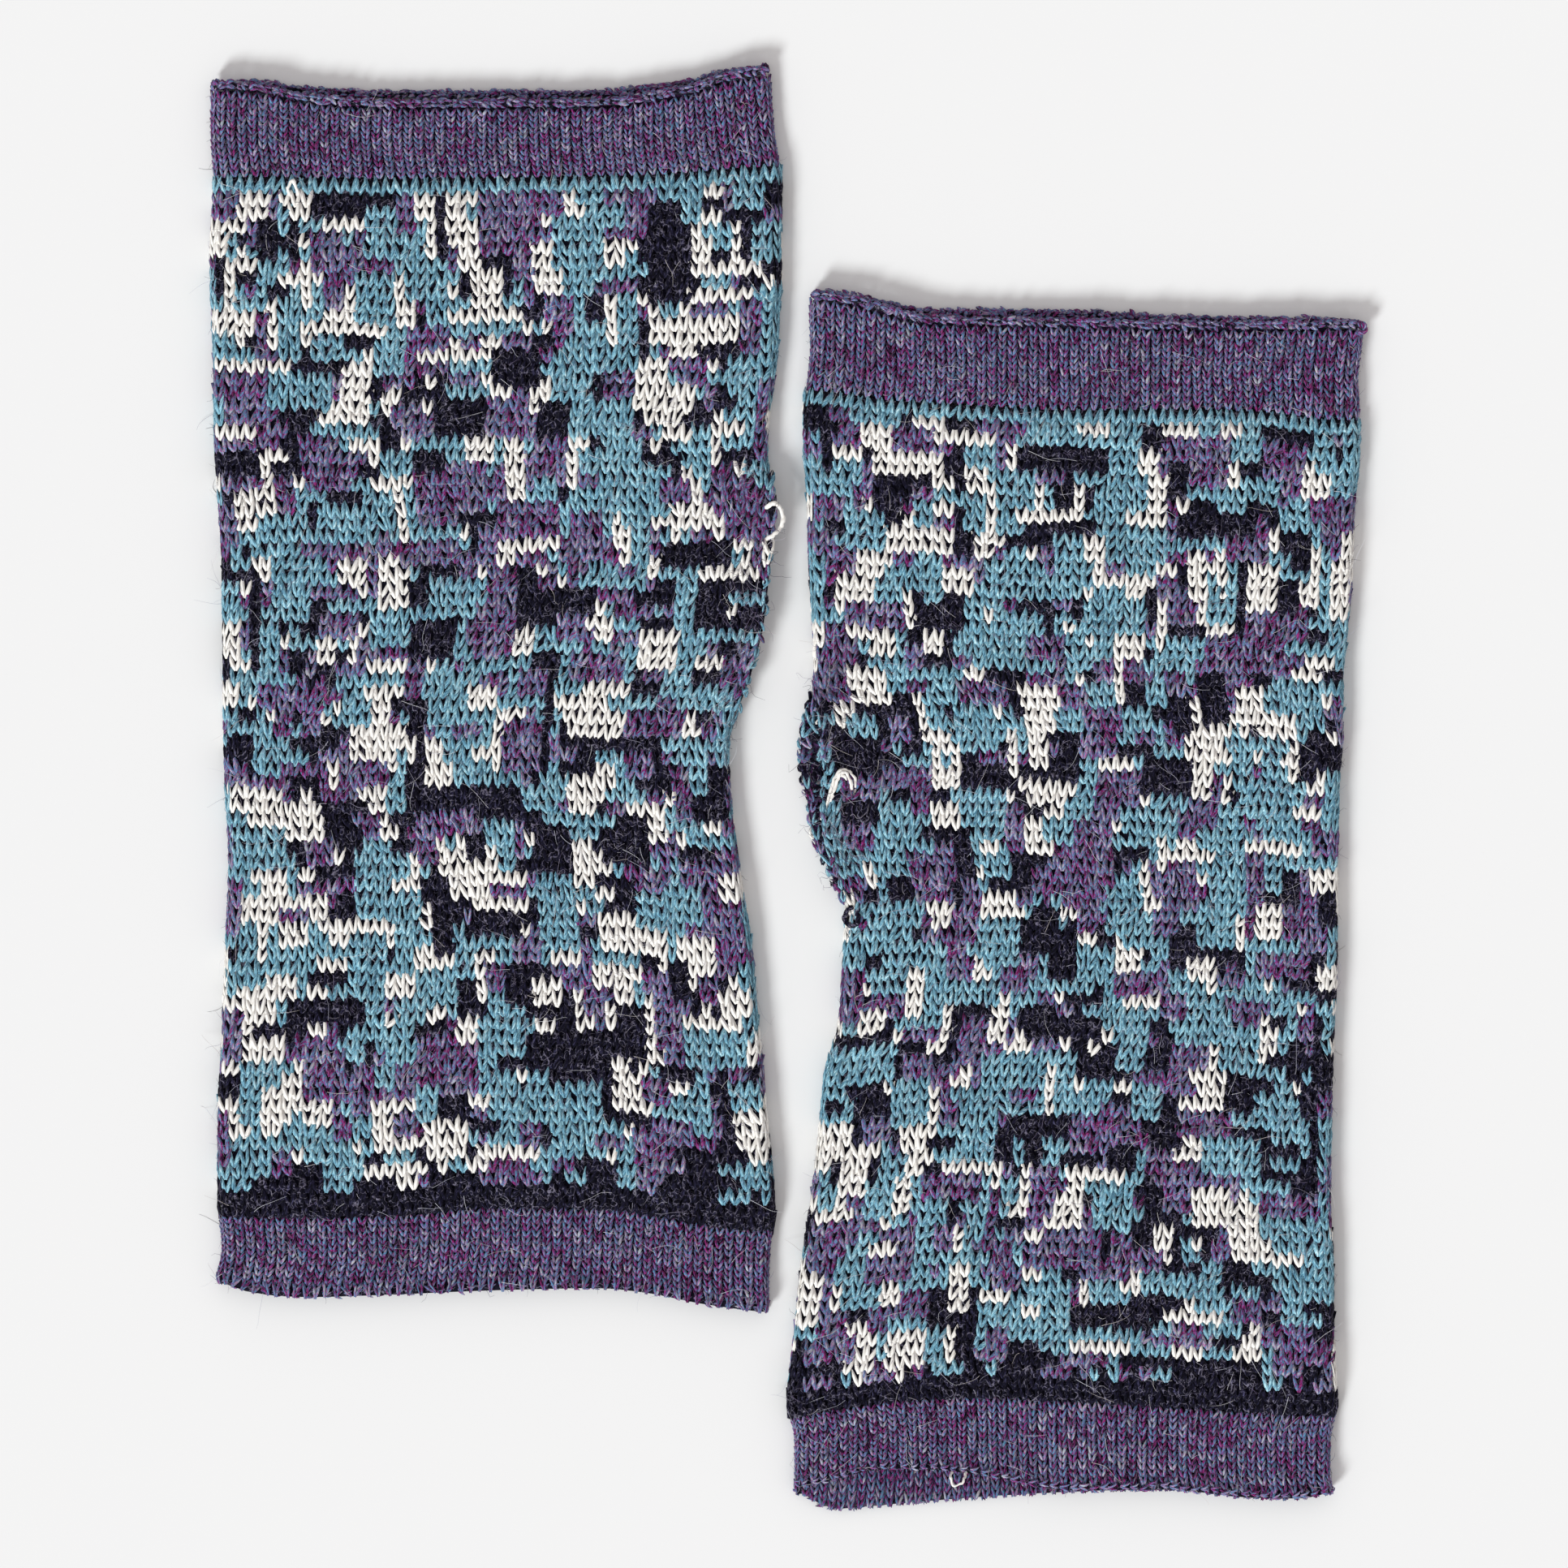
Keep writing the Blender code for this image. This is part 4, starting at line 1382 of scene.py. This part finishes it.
def yarn_material(yarn):
    """Fibres twisted along the yarn, each with its own shade, and each stitch a little its own."""
    material, tree, shader = new_material(yarn.name + "_yarn", yarn.roughness, yarn.sheen)
    in_yarn = scaled(tree, attribute(tree, "yarn"), 1 / MM)
    tint = attribute(tree, "tint")
    own = parts_of(tree, tint)
    turn = {"Vector": in_yarn, "Angle": maths(tree, "MULTIPLY", parts_of(tree, in_yarn)["Y"], TWIST)}
    twisted = add_node(tree, "ShaderNodeVectorRotate", turn, rotation_type="Y_AXIS").outputs[0]
    apart = scaled(tree, tint, STITCHES_APART)
    waves = (yarn.streak, yarn.long_streak, yarn.streak)
    streaks = noise_at(tree, twisted, waves, STREAK_DETAIL, apart)
    fine = noise_at(tree, twisted, FINE_STREAKS, FINE_DETAIL, apart)
    mixed = maths(tree, "MULTIPLY_ADD", maths(tree, "SUBTRACT", fine, 0.5), FINE_SHARE, streaks)
    shifted = maths(tree, "MULTIPLY_ADD", maths(tree, "SUBTRACT", own["Y"], 0.5), yarn.shift, mixed)
    # The tint's first part sets how light a stitch is: its own tone, with painted light on the right
    # cast-on chain and painted shade on the arm cuff's first row and inner rows
    value = maths(tree, "MULTIPLY_ADD", own["X"], yarn.contrast, 1 - yarn.contrast / 2)
    shade = {"Color": colour_ramp(tree, shifted, yarn.shades), "Value": value}
    shaded = add_node(tree, "ShaderNodeHueSaturation", shade).outputs[0]
    painted(tree, shader, lying_hairs(tree, shaded, yarn.hairy))
    bumped(tree, shader, fine, yarn.bump, FIBRE_RELIEF)
    return material


def shell_material():
    """The floats behind the stitches, darkened nearly to black as painted shade in the gaps between them.
    """
    material, tree, shader = new_material(BEHIND.name, BEHIND.roughness, BEHIND.sheen)
    noise = noise_at(tree, source(tree, "ShaderNodeTexCoord", "Object"), BEHIND.waves, BEHIND.detail)
    painted(tree, shader, lying_hairs(tree, colour_ramp(tree, noise, FLOAT_AND_PAINTED_SHADE_COLOURS), BEHIND_HAIRY))
    bumped(tree, shader, noise, BEHIND.bump, BEHIND.relief)
    return material


def inside_material():
    """The inner side: rows of crossing floats in the four yarns, painted darker towards their gaps as
    shade.
    """
    material, tree, shader = new_material(INSIDE.name, INSIDE.roughness, INSIDE.sheen)
    place = source(tree, "ShaderNodeTexCoord", "Object")
    waves = {"Vector": place, **INSIDE_ROWS}
    rows = add_node(tree, "ShaderNodeTexWave", waves, bands_direction="Y").outputs["Fac"]
    mixed = colour_ramp(tree, noise_at(tree, place, INSIDE.waves, INSIDE.detail), INNER_SHADES)
    # Painted shade: the colour darkens towards the gaps between the rows
    value = maths(tree, "MULTIPLY_ADD", rows, 1 - INSIDE_GAP_PAINTED_SHADE, INSIDE_GAP_PAINTED_SHADE)
    dark = add_node(tree, "ShaderNodeHueSaturation", {"Color": mixed, "Value": value})
    painted(tree, shader, dark.outputs[0])
    bumped(tree, shader, rows, INSIDE.bump, INSIDE.relief)
    return material


def fibre_material(name, shades):
    material, tree, shader = new_material(name, roughness=0.6, sheen=0.3)
    tone = parts_of(tree, attribute(tree, "tint"))["Y"]
    painted(tree, shader, colour_ramp(tree, tone, shades))
    return material


def new_object(name, mesh):
    obj = in_scene(name, mesh)
    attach(obj, "root")
    return obj


def facing_out(mesh, points, faces):
    """Fills a mesh with smooth faces that all point outwards."""
    mesh.from_pydata(points.tolist(), [], faces)
    bm = bmesh.new()
    bm.from_mesh(mesh)
    bmesh.ops.recalc_face_normals(bm, faces=bm.faces)
    bm.to_mesh(mesh)
    bm.free()
    mesh.shade_smooth()


def strip(near, far):
    return np.stack((near[..., :-1], near[..., 1:], far[..., 1:], far[..., :-1]), -1).reshape(-1, 4)


def shell_mesh(cloth, materials):
    """A closed wall of the cloth, sunk below the stitches on its outer face."""
    knit = cloth.piece.knit
    ring = ring_of(knit.shell)
    shares = np.linspace(0, 1, knit.shell.rows + 1)
    outer, inner = (
        wall_face(cloth.mitten, cloth.piece, shares, ring, depth) for depth in (knit.shell_depth, None)
    )
    rows, columns = outer.shape[:2]
    points = np.concatenate((outer.reshape(-1, 3), inner.reshape(-1, 3))) * MM
    index = np.arange(2 * rows * columns).reshape(2, rows, columns)
    outside = strip(index[0, :-1], index[0, 1:])
    inside = strip(index[1, 1:], index[1, :-1])
    edges = (
        strip(index[1, 0], index[0, 0]),
        strip(index[0, -1], index[1, -1]),
        strip(index[1, :, 0], index[0, :, 0]),
        strip(index[0, :, -1], index[1, :, -1]),
    )
    mesh = bpy.data.meshes.new(f"{cloth.mitten.name}_{cloth.piece.name}")
    facing_out(mesh, points, np.concatenate((outside, inside, *edges)).tolist())
    which = np.zeros(len(mesh.polygons), int)
    which[len(outside) : len(outside) + len(inside)] = 1
    mesh.polygons.foreach_set("material_index", which)
    for material in materials:
        mesh.materials.append(material)
    return mesh


def rim_core(mitten, edge, material):
    """The inside of the rim, a closed tube that the chain lies on, dark as painted shade in the floats'
    material.
    """
    place, out, _, endward = rim_line(mitten, edge)
    angle = (np.arange(RIM_CORE_SIDES) * 2 * math.pi / RIM_CORE_SIDES)[:, None, None]
    around = np.cos(angle) * out + np.sin(angle) * endward
    points = (place + RIM_CORE * around).transpose(1, 0, 2).reshape(-1, 3) * MM
    index = np.arange(len(points)).reshape(len(place), RIM_CORE_SIDES)
    closed = np.concatenate((index, index[:, :1]), axis=1)
    faces = strip(closed[:-1], closed[1:]).tolist() + [index[0].tolist(), index[-1].tolist()]
    mesh = bpy.data.meshes.new(f"{mitten.name}_rim_core")
    facing_out(mesh, points, faces)
    mesh.materials.append(material)
    return mesh


def leg_sizes(leg):
    points = {"Foot": leg.foot, "Bend": leg.bend, "Head": leg.head}
    sizes = {name: [value * MM for value in point] for name, point in points.items()}
    return {**sizes, "Yarn radius": leg.yarn * MM, "Parts": LEG_PARTS, "Sides": TUBE_SIDES}


# What the pieces are made with: the node trees and the materials
Kit = namedtuple("Kit", "stitches loops threads hairs yarns shell inside stray fuzz")


def each_yarn(mitten, label, stitches, tree, sizes, kit):
    """A piece of each yarn that the stitches are knitted with."""
    pieces = []
    for index, yarn in enumerate(YARNS):
        chosen = stitches.yarn == index
        if chosen.any():
            name = f"{mitten.name}_{label}_{yarn.name}"
            points = point_mesh("roots", pick(stitches, chosen))
            mesh = grown(name, points, tree, {**sizes, "Material": kit.yarns[index]})
            pieces.append(new_object(name, mesh))
    return pieces


def fibres_on(mitten, cloths, kind, tree, material):
    """Loose curly fibres over the front and along the outline."""
    random = np.random.default_rng(mitten.seed + kind.body)
    places, leans, ups = [], [], []
    for cloth, count in zip(cloths, (kind.body, kind.cuff, kind.cuff)):
        spot = cloth.at(random.uniform(*kind.around, count), random.uniform(*kind.up, count))
        flat = tilted(spot.upward, spot.sideways, random.uniform(0, 2 * math.pi, count))
        lean = random.uniform(LEAST_LEAN, kind.lean, count)[:, None]
        places.append(spot.place + HAIR_LIFT * spot.outward)
        leans.append(unit(flat + spot.outward * lean))
        ups.append(spot.outward)
    place, lean, upward = (np.concatenate(parts) for parts in (places, leans, ups))
    count = len(place)
    size = np.repeat(random.uniform(kind.short, kind.long, (count, 1)) * MM, 3, axis=1)
    no = np.zeros(count, int)
    points = Stitches(place, lean, upward, size, random.random((count, 3)), no > 0, no)
    values = {
        "Curl": kind.curl * MM,
        "Curl size": kind.curl_size,
        "Flatness": HAIR_FLATNESS,
        "Fibre radius": kind.radius * MM,
        "Parts": kind.parts,
        "Material": material,
    }
    name = f"{mitten.name}_{kind.name}"
    return new_object(name, grown(name, point_mesh("roots", points), tree, values))


def loose_threads(mitten, kit, random):
    """The loose loops and tails of yarn at their own places."""
    for thread in THREADS:
        if thread.mitten == mitten.name:
            name = f"{mitten.name}_loose_loop_{thread.place}"
            radius = thread.thick * MM / 2
            values = {"Yarn radius": radius, "Sides": THREAD_SIDES, "Material": kit.yarns[thread.yarn]}
            mesh = grown(name, line_mesh("line", thread.points, random), kit.threads, values)
            new_object(name, mesh)


def cloth_shell(cloth, kit):
    name = f"{cloth.mitten.name}_{cloth.piece.name}"
    shell = new_object(name + "_shell", shell_mesh(cloth, (kit.shell, kit.inside)))
    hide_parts(name)
    return shell


def body_pieces(cloth, kit, random):
    """The jacquard panel: its shell, its stitches, and the edges and loops of its slit."""
    mitten, knit = cloth.mitten, cloth.piece.knit
    shell = cloth_shell(cloth, kit)
    chart = mosaic(knit.rows, WALES, mitten.seed)
    edge = slit_edge(cloth, random)
    knitted = joined(
        (
            panel(cloth, chart, random),
            seam(cloth, chart, random),
            inner_slit(cloth.inner(), chart, random),
        )
    )
    loops = slit_loops(edge, random)
    on_it = each_yarn(mitten, "body_stitches", knitted, kit.stitches, leg_sizes(knit.leg), kit)
    on_it += each_yarn(mitten, "slit_edge", edge, kit.stitches, leg_sizes(EDGE_LEG), kit)
    on_it += each_yarn(mitten, "slit_loops", loops, kit.loops, LOOP_SIZES, kit)


def cuff_pieces(cloth, kit, random):
    """A cuff: its shell and its stitches, and on the arm cuff its inner rows and cast-on chain."""
    mitten, piece = cloth.mitten, cloth.piece
    shell = cloth_shell(cloth, kit)
    chart = np.full((piece.knit.rows, WALES), HEATHER)
    knitted = [panel(cloth, chart, random), seam(cloth, chart, random)]
    if piece.name == "arm_cuff":
        knitted[0] = long_first_row(cloth, knitted[0], chart, random)
        knitted.append(inner_edge(cloth.inner(), random))
        knitted.append(cast_on(cloth, random))
    sizes = leg_sizes(piece.knit.leg)
    on_it = each_yarn(mitten, piece.name + "_stitches", joined(knitted), kit.stitches, sizes, kit)


def rim_pieces(mitten, edge, kit, random):
    """The bound-off rim: its core, dark as painted shade, and the chain that lies on it."""
    core = new_object(f"{mitten.name}_rim_core", rim_core(mitten, edge, kit.shell))
    chain = rim_chain(mitten, edge, random)
    each_yarn(mitten, "rim_chain", chain, kit.stitches, leg_sizes(CHAIN_LEG), kit)
    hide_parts(f"{mitten.name}_hand_rim")


def main():
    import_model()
    cad_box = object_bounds()
    kit = Kit(
        stitches=stitch_tree(),
        loops=loop_tree(),
        threads=thread_tree(),
        hairs=hair_tree(),
        yarns=[yarn_material(yarn) for yarn in YARNS],
        shell=shell_material(),
        inside=inside_material(),
        stray=fibre_material("stray_fibre", STRAY_SHADES),
        fuzz=fibre_material("fuzz", FUZZ_SHADES),
    )
    for mitten in (LEFT, RIGHT):
        random = np.random.default_rng(mitten.seed)
        pieces, edge = mitten_pieces(end_curves(mitten))
        cloths = [Cloth(mitten, piece) for piece in pieces]
        body_pieces(cloths[0], kit, random)
        for cloth in cloths[1:]:
            cuff_pieces(cloth, kit, random)
        rim_pieces(mitten, edge, kit, random)
        loose_threads(mitten, kit, random)
        for kind, material in ((STRAY, kit.stray), (FUZZ, kit.fuzz), (TANGLE_FRONT, kit.fuzz)):
            fibres_on(mitten, cloths, kind, kit.hairs, material)
        fibres_on(mitten, [cloths[0].inner()], TANGLE_BACK, kit.hairs, kit.fuzz)
    make_floor(cad_box)
    make_light()
    make_camera()


def make_floor(cad_box):
    mesh = bpy.data.meshes.new("floor")
    half = FLOOR_HALF * MM
    low = cad_box[0].z - FLOOR_DROP * MM
    corners = [(-half, -half, low), (half, -half, low), (half, half, low), (-half, half, low)]
    mesh.from_pydata(corners, [], [(0, 1, 2, 3)])
    material, _, shader = new_material("floor", roughness=0.9, sheen=0.0)
    shader.inputs["Base Color"].default_value = linear(*FLOOR_SHADE)
    mesh.materials.append(material)
    floor = in_scene("floor", mesh)


def make_light():
    scene = bpy.context.scene
    scene.view_settings.view_transform = "Standard"
    scene.world = bpy.data.worlds.new("sky")
    scene.world.use_nodes = True
    sky = scene.world.node_tree.nodes["Background"]
    sky.inputs["Color"].default_value = (*SKY_COLOUR, 1.0)
    sky.inputs["Strength"].default_value = SKY_STRENGTH
    light = bpy.data.lights.new("sun", "SUN")
    light.energy = SUN_STRENGTH
    light.angle = math.radians(SUN_SPREAD)
    light.color = SUN_COLOUR
    turn = (-Vector(SUN_FROM)).to_track_quat("-Z", "Y")
    in_scene("sun", light).rotation_euler = turn.to_euler()


def make_camera():
    camera = bpy.data.cameras.new("camera")
    camera.type = "PERSP"
    camera.sensor_width = SENSOR
    camera.lens = SENSOR * (CAMERA_HEIGHT - CLOTH_TOP) / PICTURE_WIDTH
    camera.clip_end = CAMERA_REACH * MM
    obj = in_scene("camera", camera)
    obj.location = [value * MM for value in (*PICTURE_CENTRE, CAMERA_HEIGHT)]
    bpy.context.scene.camera = obj


main()
